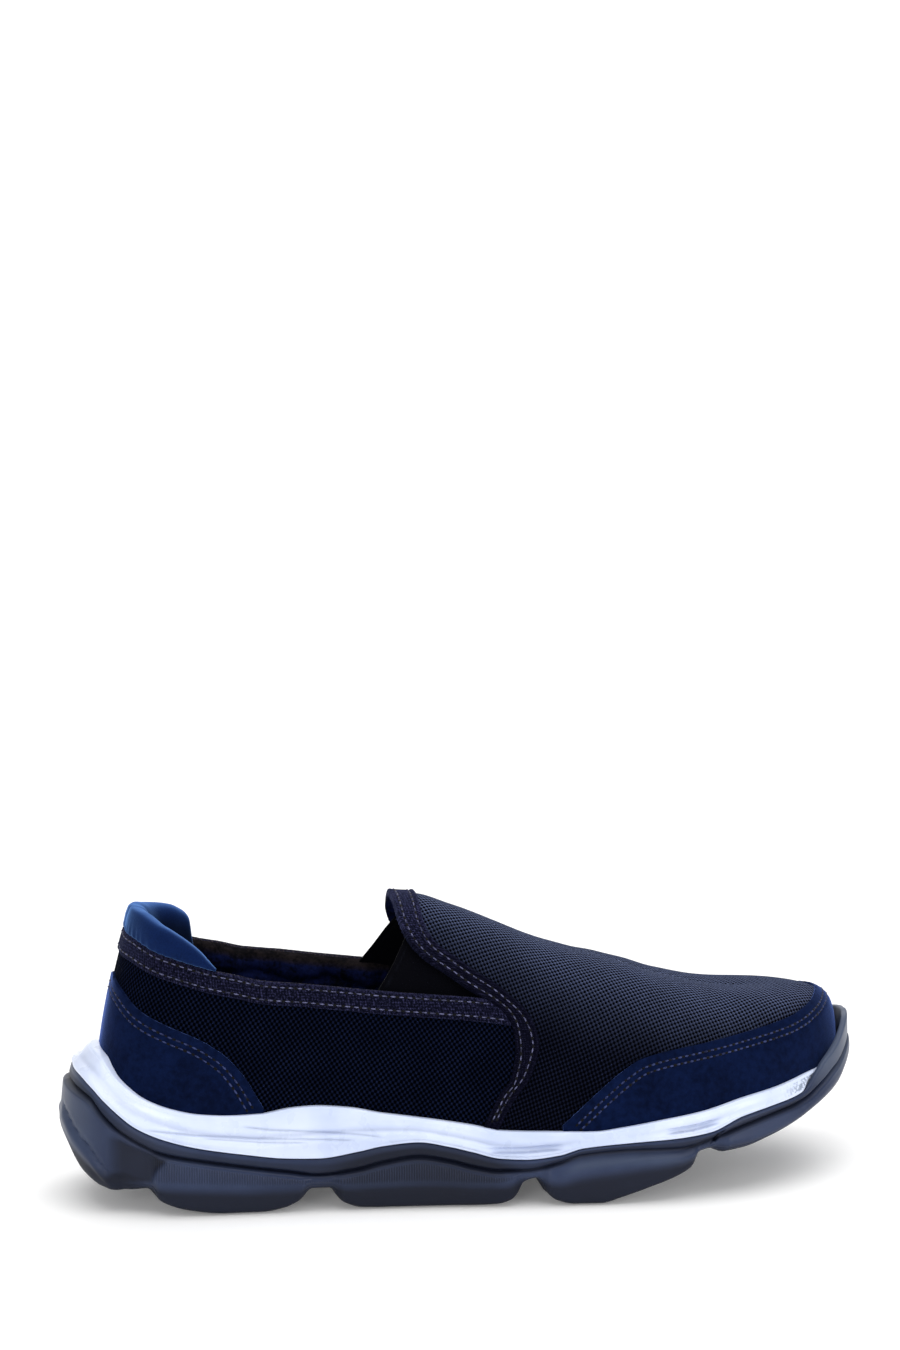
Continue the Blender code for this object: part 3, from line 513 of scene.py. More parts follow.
def clothFinish(name, look):  # close soft cloth
    made = Finish(name, Roughness=0.85, Sheen_Weight=look["sheen"], Sheen_Roughness=0.4,
                  Sheen_Tint=look["tint"], Specular_IOR_Level=0.04)
    spot = made.spot()
    grain = made.noise(spot, look["grain"], 3.0, 0.6)
    cloudy = made.noise(spot, look["clouds"], 3.0)
    tone = made.math("ADD", made.math("MULTIPLY", grain, 0.5), made.math("MULTIPLY", cloudy, 0.5))
    share = made.between(tone, 0.35, 0.65)
    cloth = made.mix(share, look["deep"], look["pale"])
    if "crest" in look:
        # painted highlight: on the collar roll the crest colours light a band along its ridge where crown is set;
        # on the collar padding the same mix gives its dark brown top band
        cloth = made.mix(made.attribute("crown"), cloth, made.mix(share, look["crestDeep"], look["crest"]))
        # painted shade: darker on the collar roll's inside face, where inner is set
        cloth = made.mix(made.attribute("inner"), cloth, look["hollow"])
    made.colour(cloth)
    made.relief(grain, look["relief"], 0.6)
    return made.material


def elasticFinish(name, look):
    made = Finish(name, Roughness=0.8, Sheen_Weight=0.02, Specular_IOR_Level=0.03)
    ribs = made.node("TexWave", {"Vector": made.weave((1, 1, 1)), "Scale": 0.5, "Distortion": 0.4},
                     wave_type="BANDS", bands_direction="X")
    fine = made.noise(made.weave((2, 2, 1)), 1.5, 2.0)
    # painted highlight: lighter along the fold line
    made.colour(made.mix(made.math("ADD", made.math("MULTIPLY", fine, 0.5), made.attribute("fold"), clamp=True),
                         look["deep"], look["pale"]))
    made.relief(made.math("ADD", ribs.outputs["Fac"], fine), 0.15, 0.5)
    return made.material


def foamFinish(name, look):  # painted midsole
    made = Finish(name, Roughness=0.3, Coat_Weight=0.25, Coat_Roughness=0.15, Specular_IOR_Level=0.5)
    spot = made.spot()
    cloudy = made.noise(spot, 30, 4.0)
    grime = made.attribute("groove")
    # wear: the white paint worn to silver at the toe end
    worn = made.attribute("worn")
    base = made.mix(made.between(cloudy, 0.35, 0.7), look["white"], look["shade"])
    # painted shade: greyer where the groove attribute is set, in the grooves, along the pockets and at the heel
    # end
    base = made.mix(made.math("MULTIPLY", grime, 0.5, clamp=True), base, look["grime"])
    specks = made.between(made.noise(spot, 900, 3.0), 0.4, 0.62)
    silver = made.mix(specks, look["silver"], look["white"])
    base = made.mix(worn, base, silver)
    made.colour(base)
    made.rough(made.between(made.noise(spot, 140, 3.0), 0.3, 0.7, 0.24, 0.4))
    made.relief(made.math("ADD", made.noise(spot, 700, 2.0), made.math("MULTIPLY", worn, specks)), 0.05, 0.4)
    return made.material


def rubberFinish(name, look):
    made = Finish(name, Roughness=0.45, Coat_Weight=0.05, Coat_Roughness=0.3, Specular_IOR_Level=0.2)
    spot = made.spot()
    cloudy = made.noise(spot, 45, 4.0)
    specks = made.noise(spot, 1500, 2.0)
    dull = made.attribute("dull")
    ribs = made.node("TexWave", {"Vector": made.weave((1, 1, 1)), "Scale": look["ribs"], "Distortion": 0.2},
                     wave_type="BANDS", bands_direction="X").outputs["Fac"]
    ribbed = made.math("MULTIPLY", ribs, made.attribute("ribbed"))
    base = made.mix(made.between(cloudy, 0.3, 0.7), look["slate"], look["slateLight"])
    # the paler colour: painted highlight on the heel's upper flank and the fore lobe's bevel band, and at the toe
    # partly the bumper's paler rubber
    base = made.mix(made.attribute("bright"), base, look["pale"])
    # painted shade: the colour darkens by the shade mask and, less, in the rib bands, standing in for shade
    # between the ribs
    shade = made.math("ADD", made.math("MULTIPLY", dull, 0.9), made.math("MULTIPLY", ribbed, 0.45), clamp=True)
    made.colour(made.mix(shade, base, look["dark"]))
    made.rough(made.math("ADD", made.between(cloudy, 0.3, 0.7, 0.36, 0.46), made.math("MULTIPLY", dull, 0.2)))
    padded = made.weave((1 / look["tread"], 1 / look["tread"], 1), 45)
    tread = made.node("TexVoronoi", {"Vector": padded, "Scale": 1.0, "Randomness": 0.0},
                      voronoi_dimensions="2D", feature="DISTANCE_TO_EDGE")
    pads = made.between(tread.outputs["Distance"], 0.05, 0.14)
    height = made.math("SUBTRACT", made.math("MULTIPLY", specks, 0.12), made.math("MULTIPLY", ribbed, 1.3))
    pads = made.math("MULTIPLY", pads, made.math("MULTIPLY", made.attribute("tread"), 3.0))
    height = made.math("ADD", height, pads)
    made.relief(height, 0.2, 0.8)
    return made.material


def threadFinish(name, colour, shade):
    made = Finish(name, Roughness=0.7, Sheen_Weight=0.1, Specular_IOR_Level=0.1)
    spot = made.spot()
    made.colour(made.mix(made.between(made.noise(spot, 700, 2.0), 0.3, 0.65), shade, colour))
    made.relief(made.noise(spot, 3500, 1.0), 0.08, 0.6)
    return made.material


finishes = {
    # the vamp's second pair of thread colours is lighter: painted light on its upward-facing top
    "vampKnit": knitFinish("vamp knit", {
        "pitch": 1.85, "rise": 2.2, "turn": 18, "drift": 1.2, "holeEdge": -0.1, "sheen": 0.7, "relief": 0.4,
        "gloss": 0.02, "tint": linear(150, 165, 210),
        "thread": linear(5, 6, 16), "threadLight": linear(18, 22, 40),
        "crownThread": linear(10, 14, 28), "crownLight": linear(56, 64, 92), "gap": linear(0, 0, 3)}),
    "quarterKnit": knitFinish("quarter knit", {
        "pitch": 1.85, "rise": 2.2, "turn": -10, "drift": 1.2, "holeEdge": -0.1, "sheen": 0.1, "relief": 0.4,
        "gloss": 0.01, "tint": linear(110, 135, 210),
        "thread": linear(4, 6, 17), "threadLight": linear(17, 24, 48),
        "crownThread": linear(4, 6, 17), "crownLight": linear(17, 24, 48), "gap": linear(0, 0, 2)}),
    "nubuck": nubuckFinish("nubuck", {"deep": linear(4, 10, 32), "pale": linear(10, 22, 54)}),
    "webbing": webbingFinish("webbing", {
        "pitch": 1.3, "rise": 1.5, "turn": 38, "drift": 0.8, "deep": linear(3, 3, 15), "fleck": linear(46, 46, 76),
        "backDeep": linear(6, 5, 8), "backPale": linear(62, 52, 50)}),
    # the collar roll's crest colours are a painted highlight along its ridge
    "collarCloth": clothFinish("collar cloth", {
        "deep": linear(5, 19, 54), "pale": linear(9, 28, 70), "tint": linear(120, 170, 245), "sheen": 0.9,
        "crest": linear(34, 62, 118), "crestDeep": linear(26, 52, 106), "hollow": linear(4, 9, 28),
        "grain": 1700, "clouds": 60, "relief": 0.1}),
    "lining": clothFinish("lining", {
        "deep": linear(1, 2, 9), "pale": linear(12, 20, 58), "tint": linear(90, 110, 180), "sheen": 0.1,
        "crest": linear(28, 23, 24), "crestDeep": linear(2, 2, 4), "hollow": linear(1, 1, 5),
        "grain": 620, "clouds": 130, "relief": 0.7}),
    "elastic": elasticFinish("elastic", {"deep": linear(0, 0, 3), "pale": linear(5, 6, 13)}),
    "foam": foamFinish("midsole foam", {
        "white": linear(213, 223, 246), "shade": linear(192, 204, 233), "grime": linear(138, 148, 176),
        "silver": linear(120, 132, 152)}),
    "rubber": rubberFinish("outsole rubber", {
        "slate": linear(34, 44, 70), "slateLight": linear(44, 55, 83), "dark": linear(6, 10, 25),
        "pale": linear(66, 76, 97), "ribs": 0.36, "tread": 3.4}),
    "footbed": clothFinish("footbed", {
        "deep": linear(10, 14, 36), "pale": linear(24, 32, 68), "tint": linear(100, 120, 180), "sheen": 0.15,
        "grain": 900, "clouds": 60, "relief": 0.25}),
    "paleThread": threadFinish("pale thread", linear(96, 98, 130), linear(30, 32, 54)),
    "navyThread": threadFinish("navy thread", linear(52, 62, 104), linear(16, 22, 52)),
    # near-black: painted shade for the needle holes
    "needleHole": threadFinish("needle hole", linear(2, 2, 7), linear(0, 0, 2)),
}
print("finishes made")


# Uppers: cloth panels on the last

def ringPlane(station, girth, side):  # cloth coordinates that run round the heel
    run = np.where(side > 0, lastOutline.lengths[medial], lastOutline.lengths[lateral]) * station / 100
    return np.stack([run * side, girth / 100 * sectionLength(station, side)], -1)


def vampPlane(station, girth, side):
    return lookUp(station, girth, side)[..., 6:8]


class Edge:  # a curve on the last, with what lies inside it
    def __init__(self, points, normals, inwardSign=1):
        self.points, self.normals = points, normals
        along = np.gradient(points, axis=0)
        along /= np.linalg.norm(along, axis=-1)[:, None] + 1e-12
        self.along = along
        self.inward = inwardSign * np.cross(normals, along)
        self.tree = KDTree(len(points))
        for i, p in enumerate(points):
            self.tree.insert(p, i)
        self.tree.balance()

    def distance(self, points):
        flat = np.asarray(points).reshape(-1, 3)
        return np.array([self.tree.find(p)[2] for p in flat]).reshape(np.shape(points)[:-1])


lastCloud = lastSheets[:, ::3, ::4, :6].reshape(-1, 6)
lastTree = KDTree(len(lastCloud))
for i, row in enumerate(lastCloud):
    lastTree.insert(row[:3], i)
lastTree.balance()


def ontoLast(points):  # nearest points of the last's form, and its normals there
    near = lastCloud[[lastTree.find(p)[1] for p in points]]
    normals = near[:, 3:]
    drop = ((points - near[:, :3]) * normals).sum(1)
    return points - normals * drop[:, None], normals


def resampled(points, spacing):
    points = np.asarray(points)
    run = np.concatenate([[0], np.cumsum(np.linalg.norm(np.diff(points, axis=0), axis=1))])
    at = np.linspace(0, run[-1], max(3, round(run[-1] / spacing)))
    return np.stack([np.interp(at, run, points[:, k]) for k in range(3)], -1)


def edgeOf(station, girth, side, inwardSign=1, spacing=0.6):
    points, normals = ontoLast(resampled(skin(station, girth, side), spacing))
    return Edge(points, normals, inwardSign)


def bothSides(stations):  # outer side from the last station to the first, then inner side back out
    station = np.concatenate([stations[::-1], stations[1:]])
    side = np.concatenate([np.full(len(stations), lateral), np.full(len(stations) - 1, medial)])
    return station, side


def rowShares(count, edgeRows=(0, 0.004, 0.012, 0.026)):  # rows crowd at both borders
    middle = np.linspace(edgeRows[-1], 1 - edgeRows[-1], count)
    return np.concatenate([edgeRows[:-1], middle, 1 - np.array(edgeRows[:-1])[::-1]])


def rounded(distance, radius):  # height of a quarter-round edge
    share = np.clip(distance / radius, 0, 1)
    return np.sqrt(np.clip(1 - (1 - share) ** 2, 0, 1))


stitchRows = []  # each: points, normals, name of the seam


def seamLine(edge, inset, lift, seam, start=0.0, end=1.0):
    points, normals = ontoLast(edge.points + edge.inward * inset)
    first, last = int(start * len(points)), int(end * len(points))
    stitchRows.append((points[first:last] + normals[first:last] * lift, normals[first:last], seam))


def wander(a, b, c=0.0):  # a slow even unevenness, about -1 to 1
    return (np.sin(a * 0.31 + 1.3 * np.sin(b * 0.17 + c)) + np.sin(a * 0.13 - b * 0.23 + 2.1 + c)) / 2


upperSpec = {"mesh": 1.0, "liningStart": 1.1, "wall": 2.0, "quarterColumns": 150, "quarterRows": 46,
             "vampColumns": 130, "vampRows": 78, "liningColumns": 90, "liningRows": 26, "tuckUnder": 1.4}


def quarterGrid(side, columns, rows, tuck, topDrop):
    across = np.linspace(0, 1, columns)[:, None] ** 1.15
    up = np.linspace(0, 1, rows)[None, :]
    station = blend(0, 50, across) * np.ones_like(up)
    for _ in range(5):
        girth = up * girthAt(station, smooth(topline, "height", station) - topDrop, side)
        station = across * (smooth(edging, "rear", girth) + tuck)
    return station, girth


def ringGrid(columns, rows, tuck, topDrop=0.0):  # both quarters, from the outer throat round the heel
    outer, inner = (quarterGrid(side, columns, rows, tuck, topDrop) for side in sides)
    station, girth = (np.concatenate([a[::-1], b[1:]]) for a, b in zip(outer, inner))
    side = np.concatenate([np.full(columns, lateral), np.full(columns - 1, medial)])[:, None]
    return station, girth, side


def makeQuarters():
    spec = upperSpec
    work = Patchwork()
    station, girth, side = ringGrid(spec["quarterColumns"], spec["quarterRows"], spec["tuckUnder"])
    weave = ringPlane(station, girth, side)
    z = skin(station, girth, side)[..., 2]
    soft = 0.16 * wander(station * 1.6, z * 0.5) * ramp(station, 4, 12) * (1 - ramp(station, 44, 50))
    work.shell(skin(station, girth, side, soft), skin(station, girth, side, soft - spec["mesh"]), weave,
               crown=0.4 * ramp(z, 80, 94))
    return work.make("quarters", finishes["quarterKnit"], "mesh", ["upper"])


def vampGrid(columns, rowsHalf, tuck=0.15):
    half = np.linspace(0, 100, rowsHalf)
    levels = np.concatenate([half, half[-2::-1]])
    side = np.concatenate([np.full(rowsHalf, lateral), np.full(rowsHalf - 1, medial)])
    rear = smooth(edging, "rear", levels) + tuck
    along = np.linspace(0, 1, columns)[:, None]
    station = blend(rear[None, :], 100, along)
    return station, levels[None, :] * np.ones_like(station), side[None, :]


def makeVamp():
    spec = upperSpec
    work = Patchwork()
    station, girth, side = vampGrid(spec["vampColumns"], spec["vampRows"])
    points = skin(station, girth, side)
    # the forefoot's soft flex creases, a few shallow troughs across the vamp
    flex = sum(depth * bell(points[..., 0] - x - 0.12 * np.abs(points[..., 1]), width) * ramp(girth, 45, 90)
               for x, width, depth in ((186, 4.5, 0.28), (199, 5.5, 0.32), (213, 5, 0.22)))
    soft = 0.12 * wander(station * 2.0, girth * 0.4, 1.0) - flex
    soft = soft * (1 - ramp(station, 86, 92))
    facing = lookUp(station, girth, side)[..., 5]
    # crown: how far the vamp faces up; it paints the top's threads lighter, painted light from above
    crown = ramp(facing, 0.3, 0.97)
    work.shell(skin(station, girth, side, soft), skin(station, girth, side, soft - spec["mesh"]),
               vampPlane(station, girth, side), ends=(True, False), crown=crown)
    return work.make("vamp", finishes["vampKnit"], "mesh")


def makeLining():
    spec = upperSpec
    work = Patchwork()
    outer, inner = -spec["liningStart"], -spec["wall"]
    station, girth, side = ringGrid(spec["liningColumns"], spec["liningRows"], -0.2, 0.4)
    lumps = 0.25 * wander(station * 3.1, girth * 1.7, 0.6)
    work.shell(skin(station, girth, side, outer), skin(station, girth, side, inner + lumps),
               ringPlane(station, girth, side))
    station, girth, side = vampGrid(70, 44, 0.1)
    work.shell(skin(station, girth, side, outer), skin(station, girth, side, inner),
               vampPlane(station, girth, side), ends=(True, False))
    return work.make("lining", finishes["lining"], "mesh")


collarPadSpec = {"depth": 27.0, "thick": 5.2, "start": 10.0, "end": 42.0, "columns": 110, "rows": 34,
                 "lumps": 0.2, "fold": 0.3, "bound": (0.07, 0.1)}


def makeCollarPadding():  # foam roll inside the quarters, from the tab to the gore
    spec = collarPadSpec
    pads = []
    for side, word in ((lateral, "lateral"), (medial, "medial")):
        work = Patchwork()
        station = np.linspace(spec["start"], spec["end"], spec["columns"])[:, None]
        down = np.linspace(0, 1, spec["rows"])[None, :] ** 0.9
        top = smooth(topline, "height", station) + 0.4
        girth = girthAt(station * np.ones_like(down), top - spec["depth"] * down, side)
        taper = rounded(station - spec["start"], 3.0) * rounded(spec["end"] - station, 5.0)
        crown = np.sin(np.pi * np.clip(down, 0, 1) ** 0.62) ** 0.75
        fold = bell(down - 0.3 - 0.05 * np.sin(station * 0.7), 0.05)
        pulls = 1 + spec["lumps"] * wander(station * 6.4, down * 13, 0.4) - spec["fold"] * fold
        thick = spec["thick"] * crown * taper * pulls
        back = -upperSpec["wall"] + 0.1
        where = station * np.ones_like(down)
        work.shell(skin(where, girth, side, back), skin(where, girth, side, back - 0.3 - thick),
                   ringPlane(where, girth, side * np.ones_like(where)), crown=1 - ramp(down, *spec["bound"]))
        pad = work.make(f"collar_padding_{word}", finishes["lining"], "collar_pad")
        pads.append(pad)
    return pads


overlaySpec = {"wall": 0.95, "edge": 0.5, "under": -0.25, "tuck": 1.2, "stitchRows": (3.2, 5.4),
               "stitchLift": 0.12, "trough": 0.16, "troughWidth": 0.55, "rows": 50, "seam": (0.015, 0.985)}


def makeOverlay(name, border, station, side, plane, seam, node, inwardSign=1):
    spec = overlaySpec
    low = girthAt(station, smooth(feather, "height", station) - spec["tuck"], side)
    high = girthAt(station, smooth(border, "height", station), side)
    edge = edgeOf(station, high, side, inwardSign)
    girth = blend(low[:, None], np.maximum(high, low + 0.2)[:, None], rowShares(spec["rows"])[None, :])
    station, side = station[:, None] * np.ones_like(girth), side[:, None] * np.ones_like(girth, int)
    distance = edge.distance(skin(station, girth, side))
    lift = spec["wall"] * (0.25 + 0.75 * rounded(distance, spec["edge"]))
    for row in spec["stitchRows"]:
        lift = lift - spec["trough"] * bell(distance - row, spec["troughWidth"])
    work = Patchwork()
    work.shell(skin(station, girth, side, lift), skin(station, girth, side, spec["under"]),
               plane(station, girth, side))
    for row in spec["stitchRows"]:
        seamLine(edge, row, spec["wall"] + spec["stitchLift"] - spec["trough"], seam, *spec["seam"])
    return work.make(name, finishes["nubuck"], "nubuck", [node])


def makeCounter():
    station, side = bothSides(np.linspace(0, counter["station"][-1], 110))
    return makeOverlay("heel_counter_panel", counter, station, side, ringPlane, "counter", "heel_counter")


def makeGuard():
    stations = np.linspace(guard["station"][0], 100, 150)
    station = np.concatenate([stations, stations[-2::-1]])
    side = np.concatenate([np.full(150, lateral), np.full(149, medial)])
    return makeOverlay("toe_guard_panel", guard, station, side, vampPlane, "guard", "toe_guard", -1)


edgingSpec = {"wall": 1.0, "rows": (1.7, 6.6), "piping": 0.35}


def makeEdging():
    spec = edgingSpec
    half = np.linspace(0, 100, 110)
    side = np.concatenate([np.full(110, lateral), np.full(109, medial)])[None, :]
    across = rowShares(16, (0, 0.015, 0.05, 0.1))[:, None]
    station = np.full((len(across), 219), 50.0)
    for _ in range(5):
        low = girthAt(station, smooth(feather, "height", station) - 1.2, side)
        share = np.concatenate([half, half[-2::-1]])[None, :] / 100
        girth = blend(low, 100, share)
        station = blend(smooth(edging, "rear", girth), smooth(edging, "front", girth), across)
    side = side * np.ones_like(girth, int)
    rear = edgeOf(station[0], girth[0], side[0], -1)
    front = edgeOf(station[-1], girth[-1], side[-1])
    base = skin(station, girth, side)
    fromRear, fromFront = rear.distance(base), front.distance(base)
    lift = spec["wall"] * (0.2 + 0.8 * rounded(np.minimum(fromRear, fromFront), 0.5))
    lift = lift + spec["piping"] * bell(fromFront - 0.7, 0.5)
    for d in (fromRear, fromFront):
        lift = lift - 0.14 * bell(d - spec["rows"][0], 0.5)
    free = ramp(girth, 52, 57)
    inner = -0.25 - (upperSpec["wall"] + 0.2) * free * (1 - rounded(fromRear, 2.2))
    work = Patchwork()
    weave = np.stack([fromRear, np.broadcast_to(np.arange(219)[None, :] * 1.05, girth.shape)], -1)
    # painted light: the edging's flecks grow from its side up to its top, and gather along the piping, a painted
    # highlight
    work.shell(skin(station, girth, side, lift), skin(station, girth, side, inner), weave, inside=0,
               worn=0.5 * bell(fromFront - 0.7, 0.4), lively=blend(0.28, 1.5, ramp(girth, 62, 88)))
    seamLine(rear, spec["rows"][0] + 0.1, spec["wall"], "edging", 0.02, 0.98)
    seamLine(front, spec["rows"][0] + 0.5, spec["wall"], "edging", 0.02, 0.98)
    return work.make("vamp_edging_tape", finishes["webbing"], "webbing", ["vamp_edging"])


bindingSpec = {"width": 7.5, "wall": 0.9, "rows": (1.3, 5.9), "turnIn": 4.0, "fuzz": 0.09}


def makeBinding():  # a tape folded over the topline, from the throat round the heel
    spec = bindingSpec
    columns = 150
    across = np.concatenate([np.linspace(1, 0, columns) ** 1.15, np.linspace(0, 1, columns)[1:] ** 1.15])
    side = np.concatenate([np.full(columns, lateral), np.full(columns - 1, medial)])
    # around the tape: up the outer face, over the top, down inside, and back
    outside = [(-spec["width"], 0.0), (-spec["width"], 0.5), (-spec["width"] + 0.2, 0.8)]
    outside += [(d, spec["wall"]) for d in np.linspace(-spec["width"] + 0.6, -0.9, 12)]
    outside += [(-0.3, 0.85), (0.25, 0.55), (0.5, 0.0), (0.55, -1.0), (0.4, -2.0), (-0.2, -2.45)]
    outside += [(d, -2.6) for d in np.linspace(-0.8, -spec["turnIn"], 4)]
    outside += [(-spec["turnIn"] - 0.2, -2.0), (-spec["turnIn"] + 0.6, -1.4), (-1.0, -1.0), (-1.6, 0.0)]
    level, offset = np.array(outside + outside[:1]).T
    station = across[:, None] * 50 * np.ones((1, len(level)))
    for _ in range(5):
        girth = girthAt(station, smooth(topline, "height", station) + level, side[:, None])
        station = across[:, None] * (smooth(edging, "rear", girth) - 0.1)
    side = side[:, None] * np.ones_like(girth, int)
    face = offset > 0.5
    down = -level
    trough = sum(0.14 * bell(down - row, 0.5) for row in spec["rows"]) * face
    ripple = 0.07 * wander(station * 9, level * 3) * face
    fuzz = np.random.default_rng(3).normal(0, spec["fuzz"], station.shape)
    ripple = ripple + fuzz * bell(level - 0.2, 0.8)
    points = skin(station, girth, side, offset - trough + ripple)
    run = ringPlane(station, girth, side)[..., 0]
    work = Patchwork()
    aroundTape = np.cumsum(np.append(0, np.hypot(np.diff(level), np.diff(offset))))
    weave = np.stack([np.broadcast_to(aroundTape, run.shape), run], -1)
    inside = np.broadcast_to((offset < 0.3) * ramp(level, -7, -5), run.shape)
    # painted highlight along the tape's top fold
    worn = np.broadcast_to(bell(level - 0.1, 0.45) * (offset > 0.3), run.shape)
    work.grid(points, weave, inside=inside, worn=worn, lively=1)
    for end in (0, -1):  # close the tape's two ends
        loop = points[end]
        centre = np.broadcast_to(loop.mean(0), loop.shape)
        work.grid(np.stack([loop, centre]), np.stack([weave[end]] * 2), inside=0, worn=0, lively=1)
    for row in spec["rows"]:
        stations = np.linspace(0, 1, 240) ** 1.15
        for s in sides:
            st = stations * 50
            for _ in range(5):
                g = girthAt(st, smooth(topline, "height", st) - row, s)
                st = stations * (smooth(edging, "rear", g) - 0.6)
            line, normals = ontoLast(resampled(skin(st, g, s), 0.6))
            stitchRows.append((line + normals * (spec["wall"] + 0.02), normals, "binding"))
    return work.make("topline_tape", finishes["webbing"], "webbing", ["topline_binding"])


goreSpec = {"wall": 1.1, "behind": 2.45, "tuck": 3.4, "columns": 40, "rows": 60}


def makeGore(name, side, word):
    spec = goreSpec
    levels = np.linspace(gore["girth"][0], gore["girth"][-1], spec["rows"])
    free = smooth(gore, "free", levels)
    hidden = smooth(edging, "rear", levels) + spec["tuck"]
    share = rowShares(spec["columns"], (0, 0.004, 0.012, 0.024))[:, None]
    station = blend(free, hidden, share)
    girth = levels[None, :] * np.ones_like(station)
    away = (station - free) * 3.9
    slack = 0.35 * wander(away * 0.9, girth * 0.6, 0.3) * ramp(away, 2, 8)
    fold = -0.35 * bell(away - 3.2, 0.5)
    outer = -spec["behind"] + slack + fold - 0.5 * (1 - rounded(away, 0.6))
    inner = -spec["behind"] - spec["wall"] + slack + 0.5 * (1 - rounded(away, 0.6))
    s = np.full(station.shape, side)
    work = Patchwork()
    # fold: a lighter line along the elastic's fold, a painted highlight
    work.shell(skin(station, girth, s, outer), skin(station, girth, s, inner), np.stack([away, girth * 1.2], -1),
               fold=bell(away - 2.6, 0.35))
    return work.make(name, finishes["elastic"], "elastic", [word])


# The padded roll at the heel

tab = table("station lateral medial pad full",
            (0, 8.6, 8.6, 1, 0.45), (4, 9.2, 8.8, 1, 0.55), (8, 9.8, 9.4, 1, 0.85), (11, 9.7, 10.4, 0.95, 1),
            (13.5, 8.4, 10.9, 0.85, 1), (15, 7.1, 10, 0.7, 1), (16, 5.8, 8.2, 0.6, 1), (16.5, 4.9, 3.4, 0.5, 0.9),
            (17, 3.7, 0.6, 0.4, 0.8), (18, 1.4, 0.2, 0.2, 0.6))
# Its section: offset, shares of the pad's thickness, of the height and of the pad's depth, and a lift
tabSection = table("offset thickness height depth lift",
                   (1.2, 0, 0, 0, 0.45), (2.5, 0, 0.33, 0, 0), (2.7, 0, 0.7, 0, 0), (1, 0, 0.97, 0, 0),
                   (-2.06, 0.5, 0.98, 0, 0), (-2.8, 1, 0.58, 0, 0), (-3.1, 1, 0, 0.15, 0),
                   (-2.8, 0.8, 0, 0.75, 0), (-2.8, 0, 0, 1, 0), (-2.8, 0, 0, 0, 0.45))
tabSpec = {"depth": 10.0, "thick": 4.2, "around": 72, "puckers": 0.34, "sink": 2.5}


def closedSpline(points, count):  # points (n, k, 3) to (n, count, 3), evenly in parameter
    k = points.shape[1]
    t = np.linspace(0, k, count, endpoint=False)
    i = np.floor(t).astype(int)
    u = (t - i)[None, :, None]
    p0, p1, p2, p3 = (points[:, (i + d) % k] for d in (-1, 0, 1, 2))
    return 0.5 * (2 * p1 + (p2 - p0) * u + (2 * p0 - 5 * p1 + 4 * p2 - p3) * u ** 2
                  + (3 * p1 - p0 - 3 * p2 + p3) * u ** 3)


def makeTab():
    spec = tabSpec
    stations = np.concatenate([np.linspace(0, 13, 44), np.linspace(13, 18, 24)[1:]])
    station, side = bothSides(stations)
    height = np.where(side < 0, smooth(tab, "lateral", station), smooth(tab, "medial", station))[:, None]
    pad = smooth(tab, "pad", station)[:, None]
    share = {name: column[None, :] for name, column in tabSection.items()}
    full = np.where(share["offset"] > 0, smooth(tab, "full", station)[:, None], 1)
    offset = share["offset"] * full - share["thickness"] * spec["thick"] * pad
    level = share["height"] * height - share["depth"] * spec["depth"] * pad + share["lift"]
    level = level - (spec["sink"] * ramp(station, 16.3, 17) * (side > 0))[:, None]
    top = smooth(topline, "height", station)[:, None] + level
    stationGrid, sideGrid = station[:, None] * np.ones_like(level), side[:, None] * np.ones_like(level, int)
    corners = skin(stationGrid, girthAt(stationGrid, top, sideGrid), sideGrid, offset)
    loops = closedSpline(corners, spec["around"])
    around = np.linspace(0, 10, spec["around"], endpoint=False)[None, :]
    # gathers along the lower seam, fading up the roll
    seam = bell((around + 0.2) % 10, 1.1)
    run = (station * side)[:, None]
    gathers = np.sin(run * 5.1 + 0.8 * np.sin(run * 1.7)) * seam
    dents = 0.5 * wander(run * 4.0, around * 3.0, 2.0)
    out = loops - loops.mean(1, keepdims=True)
    out /= np.linalg.norm(out, axis=-1)[..., None]
    loops = loops + out * (spec["puckers"] * (gathers * 0.6 + dents * 0.5))[..., None]
    ring = np.concatenate([loops, loops[:, :1]], 1)
    crest = np.concatenate([around, [[10]]], 1)
    weave = np.stack(np.broadcast_arrays(run * 3.4, crest * 3), -1)
    # crown: a band along the roll's ridge in the lighter crest colours, a painted highlight
    crown = np.broadcast_to(bell(crest - 3.4, 0.6), ring.shape[:2])
    # inner: the roll's inside face, painted darker as painted shade
    inner = np.broadcast_to(0.85 * ramp(crest, 4.2, 5.4) * (1 - ramp(crest, 8.5, 9.5)), ring.shape[:2])
    work = Patchwork()
    work.grid(ring, weave, crown=crown, inner=inner)
    for end in (0, -1):
        centre = np.broadcast_to(ring[end].mean(0), ring[end].shape)
        work.grid(np.stack([ring[end], centre]), np.stack([weave[end]] * 2), crown=0, inner=0)
    piece = work.make("collar_roll", finishes["collarCloth"], "collar_pad", ["collar_tab"])
    return piece


# The sole: sections lofted from heel to toe

